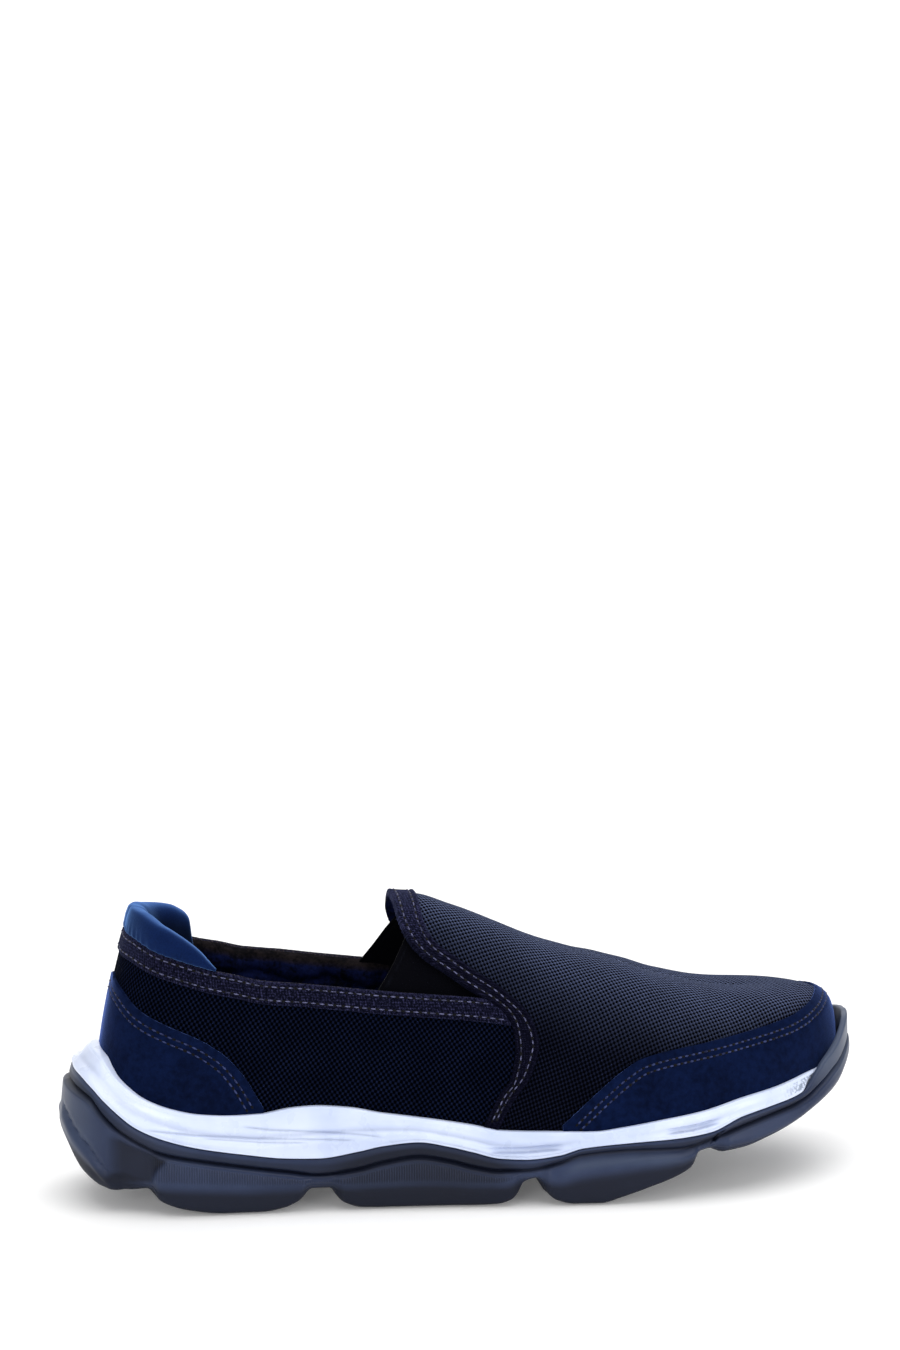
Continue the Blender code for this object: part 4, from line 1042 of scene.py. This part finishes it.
lobes = table("x height",
              (0, 22), (2, 16.5), (5, 13), (9, 10), (14, 8), (20, 7.8), (29, 8.8), (31, 6), (36, 3.2),
              (43, 1.4), (55, 0), (68, 0), (76, 1.2), (80, 2.9), (86, 7), (92, 7), (94, 4.5), (97, 2),
              (103, 0.2), (110, 0), (140, 0), (150, 0.3), (154, 1.4), (157, 3.6), (159, 7.4), (164, 9),
              (165.5, 7.5), (167.5, 4), (171, 1.4), (177, 0), (187, 0), (193, 1.6), (204, 5), (215, 8.9),
              (220, 12), (222.5, 15.8), (228, 16.8), (230, 15.5), (240, 16), (249, 17.8), (258, 19.9),
              (268, 23), (282, 28), (290, 32))
tucks = table("x halfWidth depth",
              (23, 5, 2.6), (89, 3.5, 2.4), (161.5, 3, 2.4), (226, 3, 2.4))
rim = table("station crease groove joint",
            (0, 27, 43, 47.5), (4, 23.5, 42, 46.5), (7, 19.5, 40, 43.5), (9, 17, 35, 39.8),
            (11, 15, 30.5, 35.7), (13, 13.2, 27, 31.6), (16, 11.6, 22.6, 27.6), (20, 11, 20, 24.2),
            (25, 10, 17.1, 21.3), (29, 9.8, 15, 19.5), (32.5, 9.9, 13.3, 19), (36.5, 8.8, 14.9, 20.9),
            (39, 9, 17, 22.6), (42.7, 9.2, 18.8, 23.7), (46, 8.8, 17, 21.8), (48.5, 8.2, 14.7, 19.7),
            (51.2, 8.4, 13.2, 17.4), (54, 11, 13.4, 16.9), (57.5, 9.8, 15.8, 18.2), (60, 11.8, 18.4, 20.6),
            (65, 14, 19.6, 22), (70.5, 15.6, 19.3, 22.7), (74, 19, 21.5, 23.8), (78, 19.5, 24.8, 28),
            (82, 21.5, 27, 29.8), (86, 24, 28.6, 31.2), (88, 26, 30, 33.2), (89.5, 27.5, 32, 37.2),
            (91, 29.3, 34, 40.8), (92.3, 30.8, 36, 42.8), (94, 33, 38, 45.4), (96, 36.5, 41, 49.4),
            (98, 39, 43.8, 52.4), (100, 40.5, 45.2, 53.6))
lip = table("station outer inner",
            (0, 5, 7), (5, 4.2, 6.2), (10, 2.8, 4.8), (16, 2, 3.8), (60, 2, 3.6), (88, 1.8, 3.6),
            (93, 1.3, 3.8), (96, 1.0, 3.3), (100, 1.2, 3.5))
tray = table("x height",
             (0, 15), (30, 13.5), (60, 12), (150, 12), (165, 12.4), (200, 12.6), (214, 15),
             (220, 18.3), (228, 19.3), (240, 19.3), (255, 22.5), (268, 26), (280, 29.5), (290, 32.5))
spine = table("station x y",
              (0, 30, 0), (8, 36, 0), (16, 47, 0), (25, 70, -1), (50, 149, -3), (70, 211, -2),
              (80, 237, 0), (90, 255, 3), (100, 263, 4))
match = table("sole last",
              (0, 0), (5, 3.4), (10.5, 8), (13, 10.5), (16, 13.7), (20, 17.6), (30, 27.2), (40, 37.9),
              (50, 48.6), (60, 59.4), (70, 70.2), (80, 81), (85, 86.3), (90, 90.8), (95, 95.4), (100, 100))
soleSpec = {"stations": 430, "tuckEase": 4.0, "bumperStart": 86.6, "bumperFull": 89.2, "bumperDeep": 91.0,
            "bumperSeat": 34.0, "channel": 2.4, "seatGap": 0.3, "clearance": 0.45, "cup": 0.6,
            "leastFlank": 2.8}


def tuckAt(x):
    tuck = np.zeros(np.shape(x))
    for middle, half, depth in zip(*tucks.values()):
        tuck = tuck + depth * (1 - ramp(np.abs(x - middle) - half, 0, soleSpec["tuckEase"]))
    return tuck


def edgePoint(station, side, inset, height):
    inset = np.broadcast_to(np.asarray(inset, float), np.shape(station))
    height = np.broadcast_to(np.asarray(height, float), np.shape(station))
    plan = soleOutline.at(station, side) + soleOutline.inward(station, side) * inset[..., None]
    return np.concatenate([plan, height[..., None]], -1)


def spinePoint(station):
    return np.stack([smooth(spine, "x", station), smooth(spine, "y", station), np.zeros(len(station))], -1)


def onSurface(points, heights, lift=0.0):
    moved = points.copy()
    moved[..., 2] = smooth(heights, "height", points[..., 0]) + lift
    return moved


def softProfile(corners, radii, spans, arc=4):
    # corners (n, k, 3); each has a radius, and each straight run between them a count of cells
    corners = np.asarray(corners, float)
    k = corners.shape[1]
    rows, tags = [corners[:, 0]], [0.0]
    leave = corners[:, 0]
    for i in range(1, k):
        if i < k - 1:
            before, after = corners[:, i - 1] - corners[:, i], corners[:, i + 1] - corners[:, i]
            a, b = np.linalg.norm(before, axis=-1), np.linalg.norm(after, axis=-1)
            reach = np.minimum(radii[i], np.minimum(0.45 * a, 0.45 * b))[:, None]
            start = corners[:, i] + before / np.maximum(a, 1e-9)[:, None] * reach
            end = corners[:, i] + after / np.maximum(b, 1e-9)[:, None] * reach
        else:
            start = corners[:, i]
        for j in range(1, spans[i - 1] + 1):
            share = j / spans[i - 1]
            rows.append(blend(leave, start, share))
            tags.append(i - 1 + share * 0.8)
        if i < k - 1:
            for j in range(1, arc + 1):
                t = j / arc
                rows.append(start * (1 - t) ** 2 + corners[:, i] * 2 * t * (1 - t) + end * t * t)
                tags.append(i - 0.2 + 0.2 * t)
            leave = end
    return np.stack(rows, 1), np.array(tags)


def pushed(points, depth, side):  # moves a sheet's points square to it, into the body for a positive depth
    along = np.gradient(points, axis=0)
    up = np.gradient(points, axis=1)
    out = -side * np.cross(along, up)
    out /= np.linalg.norm(out, axis=-1)[..., None] + 1e-9
    return points - out * depth[..., None]


def sideLine(station, height, knots):  # distance above a line drawn along the side
    s, z = np.array(knots, float).T
    inside = ramp(station, s[0] - 0.6, s[0] + 1.2) * (1 - ramp(station, s[-1] - 1.2, s[-1] + 0.6))
    return height - np.interp(station, s, z), inside


outsoleSpec = {
    "heelCrease": [(1.0, 35), (3.3, 32), (5.7, 27.2), (7.7, 23.1), (9.2, 17.9), (10.8, 13.8)],
    "slit": [(74.0, 19.6), (75.2, 24.2), (76.6, 27.2)],
    "foreSlope": 2.4, "creaseDepth": 0.9, "hollowDepth": 0.8, "facetDepth": 0.9, "foldDepth": 0.35,
    "fullness": 0.8, "undercut": 1.5, "slitDepth": 2.2, "sipePitch": 9.5, "sipeDepth": 0.9}


def makeOutsole():
    spec = outsoleSpec
    stations = np.linspace(0, 100, soleSpec["stations"])
    work = Patchwork()
    for side in sides:
        x = soleOutline.at(stations, side)[:, 0]
        tuck = tuckAt(x)
        bottom = smooth(lobes, "height", x)
        crease = np.maximum(smooth(rim, "crease", stations), bottom + 2)
        groove = np.maximum(smooth(rim, "groove", stations), crease + 1.6)
        joint = np.maximum(smooth(rim, "joint", stations), groove + 2.2)
        outer, inner = smooth(lip, "outer", stations), smooth(lip, "inner", stations)
        middle = spinePoint(stations)
        edge = edgePoint(stations, side, 6 + tuck, 0)
        slope = blend(1.6, 0.3, ramp(stations, soleSpec["bumperStart"], soleSpec["bumperFull"]))
        trayEdge = edgePoint(stations, side, inner + slope, 0)
        deep = soleSpec["channel"] * (1 - ramp(bottom, 4, 9))
        channel = onSurface(blend(edge, middle, 0.84), lobes)
        channel[:, 2] += deep
        low = onSurface(middle, lobes)
        low[:, 2] += soleSpec["channel"] * (1 - ramp(low[:, 2], 4, 9))
        lean = spec["foreSlope"] * ramp(stations, 56, 60) * (1 - ramp(stations, 70, 74))
        corners = np.stack([
            low, channel, onSurface(blend(edge, middle, 0.76), lobes), onSurface(edge, lobes),
            edgePoint(stations, side, 2.4 + tuck, bottom + 0.9), edgePoint(stations, side, tuck, crease),
            edgePoint(stations, side, 0.35 * outer + 0.5 * tuck + lean, groove - 1),
            edgePoint(stations, side, 0.7 * outer + 1.6, groove),
            edgePoint(stations, side, 0.8 * outer, groove + 1), edgePoint(stations, side, outer, joint),
            edgePoint(stations, side, inner, joint), onSurface(trayEdge, tray), onSurface(middle, tray)], 1)
        radii = [0, 1.2, 1.2, 3.0, 2.2, 2.4, 0.5, 0.35, 0.6, 0.9, 0.9, 0.5, 0]
        spans = [3, 2, 22, 3, 5, 12, 2, 2, 6, 1, 2, 3]
        points, tag = softProfile(corners, radii, spans)
        s = stations[:, None] * np.ones(points.shape[1])
        z = points[..., 2]
        tags = tag[None, :] * np.ones_like(s)
        flank = ramp(tags, 3.4, 3.9) * (1 - ramp(tags, 8.3, 8.8))
        depth = np.zeros_like(s)
        above, inside = sideLine(s, z, spec["heelCrease"])
        creased = spec["creaseDepth"] * bell(above, 1.0) - spec["hollowDepth"] * bell(above + 3.2, 2.4)
        depth += creased * inside * flank
        # the flat facet between the heel lobe and the main one
        slanted = s - (z - 11.7) * 0.235 + 0.5 * np.sin((z - 12) * 0.3)
        facet = ramp(s, 9.4, 11.6) * (1 - ramp(slanted, 14.2, 15.1))
        facet *= ramp(z, 11.5, 13) * (1 - ramp(z + (s - 11.3) * 1.2, 26, 28)) * flank
        depth += spec["facetDepth"] * facet
        # a fine crease where the ribbed flank meets the lower bevel
        fold = z - crease[:, None]
        lobeward = ramp(s, 14.5, 16) * (1 - ramp(s, 52, 54))
        depth += spec["foldDepth"] * bell(fold - 0.6, 0.5) * lobeward * flank
        # full between the fold and the groove, rounded in towards the floor
        rise = np.clip(fold / np.maximum(groove - crease, 1)[:, None], 0, 1)
        depth -= spec["fullness"] * np.sin(np.pi * rise) * lobeward * flank
        fall = np.clip((z - bottom[:, None]) / np.maximum(crease - bottom, 1)[:, None], 0, 1)
        lower = ramp(tags, 3.9, 4.6) * (1 - ramp(tags, 5, 5.6)) * ramp(s, 9, 14) * (1 - ramp(s, 80, 88))
        depth += spec["undercut"] * (1 - fall) ** 2 * lower
        across = (s - np.interp(z, *np.array([(q[1], q[0]) for q in spec["slit"]]).T)) * 3.8
        slit = bell(across, 0.7) * ramp(z, 18.6, 20.2) * (1 - ramp(z, 26, 27.6)) * (s > 70) * (s < 80)
        depth += spec["slitDepth"] * slit * flank
        # sipes across the tread
        tread = (1 - ramp(tags, 3.2, 3.7)) * ramp(tags, 0.6, 1.4)
        swept = points[..., 0] + 0.12 * np.abs(points[..., 1]) + 2
        sipes = bell(swept % spec["sipePitch"] - spec["sipePitch"] / 2, 0.9)
        depth += spec["sipeDepth"] * sipes * tread * (1 - ramp(s, 92, 95)) * ramp(s, 6, 9)
        points = pushed(points, depth, side)
        run = soleOutline.lengths[side] * s / 100
        risen = np.cumsum(np.linalg.norm(np.diff(points, axis=1), axis=-1), 1)
        up = np.concatenate([np.zeros((len(s), 1)), risen], 1)
        ribbed = lobeward * ramp(fold, 0.8, 2.0) * (1 - ramp(z - groove[:, None], -2.4, -1.4)) * flank
        toeward = ramp(s, 84, 91)
        below = (1 - ramp(fold, -3.5, 1.2)) * (1 - 0.6 * toeward)
        recess = bell(z - groove[:, None], 1.0) * flank * (1 - 0.7 * toeward)
        rimShade = ramp(z - groove[:, None], 0.4, 1.4) * flank * (1 - toeward)
        arched = ramp(s, 30, 38) * (1 - ramp(s, 50, 54))
        # painted shade in the heel facet, in the groove, where the flank turns under and on the rim; darker too
        # along the arch; these parts are also made a little rougher
        dull = np.clip(0.85 * facet + recess + 0.95 * below + 0.55 * rimShade + 0.5 * arched, 0, 1)
        # painted highlight on the heel's upper flank and the fore lobe's bevel band; at the toe partly the
        # bumper's paler rubber, partly painted highlight
        heelward = 1 - ramp(s, 6, 10)
        bevel = ramp(s, 57, 60) * (1 - ramp(s, 69, 73)) * bell(z - groove[:, None] + 3.4, 1.6) * flank
        bright = np.clip(toeward * ramp(z, 30, 42) + 0.45 * heelward * ramp(fold, 0, 3) + 0.6 * bevel, 0, 1)
        plan = np.stack([points[..., 0], points[..., 1]], -1)
        under = (1 - ramp(tags, 3.2, 3.6))[..., None]
        weave = np.where(under > 0.5, plan, np.stack([run, up], -1))
        work.grid(points, weave, ribbed=ribbed, dull=dull, bright=bright, tread=tread)
    return work.make("outsole_rubber", finishes["rubber"], "outsole", ["outsole"])


midsoleSpec = {
    "bandGroove": 0.7, "lowerRoll": 0.75, "upperRoll": 0.35, "pocketDepth": 1.2,
    "grooves": (("archLower", 0.55, 0.42), ("archUpper", 0.5, 0.4), ("archFine", 0.3, 0.35)),  # depth, width
    "archLower": [(14, 31.2), (19, 29.3), (25, 27.4), (30, 26.5), (36, 25.4)],
    "archUpper": [(24, 31.5), (27, 30.2), (31, 29.1), (35.5, 27.7), (39, 26.2)],
    "archFine": [(20, 28.1), (26, 26.0), (31, 25.2)],
    "pocketBall": [(50.0, 20.6), (54, 20.7), (57.8, 21.6)],
    "pocketToe": [(69.0, 25.6), (72, 26.4), (74.8, 27.9)]}


def makeMidsole():
    spec = midsoleSpec
    stations = np.linspace(0, 100, soleSpec["stations"])
    matched = smooth(match, "last", stations)
    work = Patchwork()
    for side in sides:
        outerLip, innerLip = smooth(lip, "outer", stations), smooth(lip, "inner", stations)
        hidden = ramp(stations, soleSpec["bumperStart"], soleSpec["bumperFull"])
        sunk = ramp(stations, soleSpec["bumperFull"], soleSpec["bumperDeep"])
        height = smooth(feather, "height", matched)
        width = smooth(feather, "rim", matched)
        joint = smooth(rim, "joint", stations) + soleSpec["seatGap"]
        seat = blend(np.minimum(joint, height - soleSpec["leastFlank"]), soleSpec["bumperSeat"], sunk)
        outer = blend(outerLip + 0.1, innerLip + soleSpec["clearance"], hidden)
        inner = np.maximum(innerLip + soleSpec["clearance"], outer + 0.3)
        middle = spinePoint(stations)
        slope = blend(1.6, 0.3, ramp(stations, soleSpec["bumperStart"], soleSpec["bumperFull"]))
        trayEdge = edgePoint(stations, side, innerLip + slope + soleSpec["clearance"], 0)
        foot = edgePoint(stations, side, outer, seat + 0.8)
        inward = lastOutline.inward(matched, side)

        def rimPoint(reach, lift):
            moved = skin(matched, 0, side)
            moved[:, :2] -= inward * np.broadcast_to(reach, width.shape)[:, None]
            moved[:, 2] = height + lift
            return moved

        top = rimPoint(width, -0.8)
        girth = girthAt(matched, height, side)
        corners = np.stack([
            onSurface(middle, tray, soleSpec["seatGap"]), onSurface(trayEdge, tray, soleSpec["seatGap"]),
            edgePoint(stations, side, inner, seat), edgePoint(stations, side, outer + 0.05, seat), foot,
            top, rimPoint(width - 0.5, 0), skin(matched, girth, side, 0.15),
            skin(matched, np.maximum(girth - 4, 0), side, 0.15),
            onSurface(skin(matched, 0, side, soleSpec["cup"]), bed), onSurface(middle, bed)], 1)
        radii = [0, 0.5, 0.3, 0.3, 0.9, 0.9, 0.5, 0.3, 0.3, 0.5, 0]
        spans = [3, 2, 1, 1, 40, 1, 2, 1, 2, 3]
        points, tag = softProfile(corners, radii, spans)
        s = stations[:, None] * np.ones(points.shape[1])
        z = points[..., 2]
        tags = tag[None, :] * np.ones_like(s)
        share = (z - foot[:, None, 2]) / np.maximum(top[:, None, 2] - foot[:, None, 2], 1)
        flank = ramp(tags, 3.9, 4.1) * (1 - ramp(tags, 4.75, 4.95))
        tall = ramp(top[:, 2] - foot[:, 2], 3, 7)[:, None]
        line = 0.48 + 0.03 * np.sin(s * 0.2)
        height2 = (top[:, None, 2] - foot[:, None, 2])
        gap = (share - line) * height2
        band = ramp(s, 0, 2) * (1 - ramp(s, 84, 88))
        depth = spec["bandGroove"] * bell(gap, 1.0) - spec["lowerRoll"] * bell(gap + 3.0, 2.2)
        depth = (depth - spec["upperRoll"] * bell(gap - 3.2, 2.0)) * flank * tall * band
        # grooves: where painted shade greys the white, in the band groove, the arch grooves, along the pockets and
        # at the heel end
        grooves = 0.55 * bell(gap, 0.7) * flank * tall * band
        for key, deep, thin in spec["grooves"]:
            above, inside = sideLine(s, z, spec[key])
            depth += deep * bell(above, thin) * inside * flank
            grooves += 1.2 * bell(above, thin * 0.8) * inside * flank
        for key in ("pocketBall", "pocketToe"):
            above, inside = sideLine(s, z, spec[key])
            lens = (1 - ramp(np.abs(above), 0.6, 1.15)) * inside * flank
            depth += spec["pocketDepth"] * lens
            grooves += 1.3 * bell(above + 0.9, 0.4) * inside * flank + 0.25 * lens
        points = pushed(points, depth, side)
        run = soleOutline.lengths[side] * s / 100
        # painted shade at the heel end, which turns away from the light
        grooves += 0.5 * (1 - ramp(s, 1, 8)) * flank
        worn = ramp(s, 82.8, 87.2) * flank
        work.grid(points, np.stack([run, z], -1), groove=np.clip(grooves, 0, 1), worn=worn)
    return work.make("midsole_band", finishes["foam"], "midsole", ["midsole"])


insoleSpec = {"thick": 3.5, "clearance": 0.9}


def makeFootbed():
    spec = insoleSpec
    stations = np.linspace(0, 100, 160)
    work = Patchwork()
    for side in sides:
        middle = spinePoint(stations)
        foot = skin(stations, 0, side)
        inward = lastOutline.inward(stations, side)

        def inset(distance):
            moved = foot.copy()
            moved[:, :2] += inward * distance
            return moved

        edge = inset(upperSpec["wall"] + spec["clearance"])
        shoulder = inset(upperSpec["wall"] + spec["clearance"] + 4)
        corners = np.stack([
            onSurface(middle, bed, 0.3), onSurface(edge, bed, 0.3), onSurface(edge, bed, spec["thick"] + 1),
            onSurface(shoulder, bed, spec["thick"]), onSurface(middle, bed, spec["thick"])], 1)
        points, _ = softProfile(corners, [0, 0.4, 0.8, 3, 0], [4, 2, 3, 26], 3)
        work.grid(points, points[..., :2])
    return work.make("footbed", finishes["footbed"], "insole", ["insole"])


# Stitches, laid by nodes along the seam lines

stitchSpec = {
    "counter": {"pitch": 3.1, "length": 2.0, "width": 0.6, "thread": "navyThread"},
    "guard": {"pitch": 2.6, "length": 1.5, "width": 0.7, "thread": "navyThread"},
    "edging": {"pitch": 2.9, "length": 1.9, "width": 0.5, "thread": "paleThread"},
    "binding": {"pitch": 3.0, "length": 2.0, "width": 0.5, "thread": "paleThread"}}


def stitchTree():
    tree = bpy.data.node_groups.new("stitches", "GeometryNodeTree")
    face = tree.interface
    face.new_socket("Geometry", in_out="INPUT", socket_type="NodeSocketGeometry")
    for name, value in (("Length", 2.0), ("Width", 0.5), ("Height", 0.4), ("Uneven", 0.1)):
        face.new_socket(name, in_out="INPUT", socket_type="NodeSocketFloat").default_value = value
    face.new_socket("Seed", in_out="INPUT", socket_type="NodeSocketInt").default_value = 7
    face.new_socket("Finish", in_out="INPUT", socket_type="NodeSocketMaterial")
    face.new_socket("Geometry", in_out="OUTPUT", socket_type="NodeSocketGeometry")
    add, link = tree.nodes.new, tree.links.new
    given, result = add("NodeGroupInput"), add("NodeGroupOutput")
    bead = add("GeometryNodeMeshUVSphere")
    bead.inputs["Segments"].default_value, bead.inputs["Rings"].default_value = 8, 6
    bead.inputs["Radius"].default_value = 0.5
    size = add("ShaderNodeCombineXYZ")
    for axis, name in zip("XYZ", ("Length", "Width", "Height")):
        link(given.outputs[name], size.inputs[axis])
    shaped = add("GeometryNodeTransform")
    link(bead.outputs["Mesh"], shaped.inputs["Geometry"])
    link(size.outputs[0], shaped.inputs["Scale"])
    turns = None
    for name, axis in (("along", "X"), ("face", "Z")):
        field = add("GeometryNodeInputNamedAttribute")
        field.data_type = "FLOAT_VECTOR"
        field.inputs["Name"].default_value = name
        turn = add("FunctionNodeAlignRotationToVector")
        turn.axis = axis
        if axis == "Z":
            turn.pivot_axis = "X"
        link(field.outputs[0], turn.inputs["Vector"])
        if turns:
            link(turns.outputs[0], turn.inputs["Rotation"])
        turns = turn
    uneven = add("FunctionNodeRandomValue")
    uneven.data_type = "FLOAT"
    low, high = add("ShaderNodeMath"), add("ShaderNodeMath")
    low.operation, high.operation = "SUBTRACT", "ADD"
    low.inputs[0].default_value = high.inputs[0].default_value = 1.0
    for node in (low, high):
        link(given.outputs["Uneven"], node.inputs[1])
    floats = [s for s in uneven.inputs if s.type == "VALUE"]
    link(low.outputs[0], floats[0])
    link(high.outputs[0], floats[1])
    link(given.outputs["Seed"], uneven.inputs["Seed"])
    spread = add("GeometryNodeInstanceOnPoints")
    link(given.outputs["Geometry"], spread.inputs["Points"])
    link(shaped.outputs[0], spread.inputs["Instance"])
    link(turns.outputs[0], spread.inputs["Rotation"])
    link([s for s in uneven.outputs if s.type == "VALUE"][0], spread.inputs["Scale"])
    real, smoothed, painted = (add("GeometryNode" + kind)
                               for kind in ("RealizeInstances", "SetShadeSmooth", "SetMaterial"))
    link(spread.outputs[0], real.inputs[0])
    link(real.outputs[0], smoothed.inputs[0])
    link(smoothed.outputs[0], painted.inputs[0])
    link(given.outputs["Finish"], painted.inputs["Material"])
    link(painted.outputs[0], result.inputs[0])
    return tree


def sown(name, tree, points, along, faces, slot, finish, **sizes):
    data = bpy.data.meshes.new(name + "_points")
    data.from_pydata(((points - origin) * mm).tolist(), [], [])
    for key, vectors in (("along", along), ("face", faces)):
        column = data.attributes.new(key, "FLOAT_VECTOR", "POINT").data
        column.foreach_set("vector", vectors.astype(np.float32).reshape(-1))
    holder = bpy.data.objects.new(name + "_points", data)
    bpy.context.scene.collection.objects.link(holder)
    modifier = holder.modifiers.new("sown", "NODES")
    modifier.node_group = tree
    for item in tree.interface.items_tree:
        if item.in_out == "INPUT" and item.name in sizes:
            unit = 1 if item.name in ("Seed", "Uneven") else mm
            modifier[item.identifier] = sizes[item.name] * unit
        if item.in_out == "INPUT" and item.name == "Finish":
            modifier[item.identifier] = finish
    graph = bpy.context.evaluated_depsgraph_get()
    made = bpy.data.meshes.new_from_object(holder.evaluated_get(graph))
    bpy.data.objects.remove(holder, do_unlink=True)
    made.name = name
    return place(name, made, finish, slot)


def makeStitches():
    tree = stitchTree()
    holePoints, holeAlong, holeFaces = [], [], []
    for seam, size in stitchSpec.items():
        points, along, faces = [], [], []
        for line, normals, name in stitchRows:
            if name != seam:
                continue
            run = np.concatenate([[0], np.cumsum(np.linalg.norm(np.diff(line, axis=0), axis=1))])
            count = max(2, round(run[-1] / size["pitch"]))
            tangent = np.gradient(line, axis=0)
            tangent /= np.linalg.norm(tangent, axis=1)[:, None] + 1e-12
            for shift, store in ((0.5, (points, along, faces)), (0.0, (holePoints, holeAlong, holeFaces))):
                at = (np.arange(count) + shift) * run[-1] / count
                for source, kept in zip((line, tangent, normals), store):
                    kept.append(np.stack([np.interp(at, run, source[:, k]) for k in range(3)], -1))
        sown(f"{seam}_stitches", tree, *map(np.concatenate, (points, along, faces)), "webbing",
             finishes[size["thread"]], Length=size["length"], Width=size["width"], Height=0.42, Uneven=0.08,
             Seed=11)
    # near-black beads sunk at the needle holes: painted shade standing in for the holes' depth
    points, along, faces = map(np.concatenate, (holePoints, holeAlong, holeFaces))
    sown("needle_holes", tree, points - faces * 0.1, along, faces, "webbing", finishes["needleHole"],
         Length=1.3, Width=0.95, Height=0.3, Uneven=0.2, Seed=5)


makeOutsole()
makeMidsole()
makeFootbed()
makeQuarters()
makeVamp()
makeLining()
makeCollarPadding()
makeGore("gore_lateral_panel", lateral, "gore_lateral")
makeGore("gore_medial_panel", medial, "gore_medial")
makeCounter()
makeGuard()
makeEdging()
makeBinding()
makeTab()
makeStitches()


# Floor, light and camera

def makeFloor():  # a pale sweep that turns up far behind
    path = [(-2.2, 0), (1.6, 0)] + [(1.6 + 0.9 * math.sin(a), 0.9 - 0.9 * math.cos(a))
                                    for a in np.linspace(0.1, math.pi / 2, 14)] + [(2.5, 3.4)]
    data = bpy.data.meshes.new("floor")
    rows = [[(x, y, z) for y, z in path] for x in (-4, 4)]
    n = len(path)
    data.from_pydata(rows[0] + rows[1], [], [(i, i + n, i + n + 1, i + 1) for i in range(n - 1)])
    data.shade_smooth()
    floor = bpy.data.objects.new("floor", data)
    bpy.context.scene.collection.objects.link(floor)
    finish = Finish("floor", Roughness=0.9, Specular_IOR_Level=0.1, Base_Color=(0.95, 0.95, 0.95, 1),
                    Emission_Color=(1, 1, 1, 1), Emission_Strength=0.1)
    data.materials.append(finish.material)


def makeLamp(name, place, target, size, power):
    lamp = bpy.data.lights.new(name, "AREA")
    lamp.shape, lamp.size, lamp.size_y = "RECTANGLE", size[0], size[1]
    lamp.energy = power
    holder = bpy.data.objects.new(name, lamp)
    holder.location = place
    holder.rotation_euler = (Vector(target) - Vector(place)).to_track_quat("-Z", "Y").to_euler()
    bpy.context.scene.collection.objects.link(holder)


lightSpec = {
    "overhead": ((0.05, -0.15, 1.25), (0, 0, 0.03), (1.6, 1.2), 11.5),
    "front left": ((-0.9, -1.5, 0.5), (0, 0, 0.03), (1.0, 0.8), 9),
    "front right": ((1.1, -1.1, 0.35), (0.08, 0, 0.02), (0.8, 0.5), 6.5),
    "behind": ((0.15, 0.9, 0.9), (0, 0, 0.06), (1.2, 0.5), 3),
    "backdrop": ((0, 0.9, 1.5), (0, 2.5, 1.35), (3.0, 1.2), 34)}
cameraSpec = {"azimuth": -9.5, "elevation": 14.5, "roll": 0.3, "distance": 1400, "mmPerPixel": 0.3613,
              "target": (145, 0, 50), "pixel": (462, 1039), "image": (900, 1350)}


def makeCamera():
    spec = cameraSpec
    a, e = math.radians(spec["azimuth"]), math.radians(spec["elevation"])
    back = Vector((math.sin(a) * math.cos(e), -math.cos(a) * math.cos(e), math.sin(e)))
    target = Vector(spec["target"])
    spot = target + back * spec["distance"]
    focal = spec["distance"] / spec["mmPerPixel"]  # in pixels
    right = (-back).cross(Vector((0, 0, 1))).normalized()
    up = right.cross(-back)
    pitch = math.atan2(spec["pixel"][1] - spec["image"][1] / 2, focal)
    yaw = math.atan2(spec["pixel"][0] - spec["image"][0] / 2, focal)
    ahead = -back * math.cos(pitch) + up * math.sin(pitch)
    up = up * math.cos(pitch) + back * math.sin(pitch)
    ahead, right = ahead * math.cos(yaw) - right * math.sin(yaw), right * math.cos(yaw) + ahead * math.sin(yaw)
    roll = Matrix.Rotation(math.radians(spec["roll"]), 3, -back)
    turn = Matrix([roll @ right, roll @ up, roll @ -ahead]).transposed()
    data = bpy.data.cameras.new("camera")
    data.sensor_fit, data.sensor_height, data.sensor_width = "VERTICAL", 36, 24
    data.lens = 36 * focal / spec["image"][1]
    data.clip_start, data.clip_end = 0.05, 30
    camera = bpy.data.objects.new("camera", data)
    camera.matrix_world = Matrix.Translation((spot - Vector(origin)) * mm) @ turn.to_4x4()
    bpy.context.scene.collection.objects.link(camera)
    bpy.context.scene.camera = camera


makeFloor()
for name, settings in lightSpec.items():
    makeLamp(name, *settings)
world = bpy.data.worlds.new("studio")
world.use_nodes = True
world.node_tree.nodes["Background"].inputs["Color"].default_value = (1, 1, 1, 1)
world.node_tree.nodes["Background"].inputs["Strength"].default_value = 0.42
bpy.context.scene.world = world
bpy.context.scene.view_settings.view_transform = "Standard"
makeCamera()
print("floor, light and camera set")
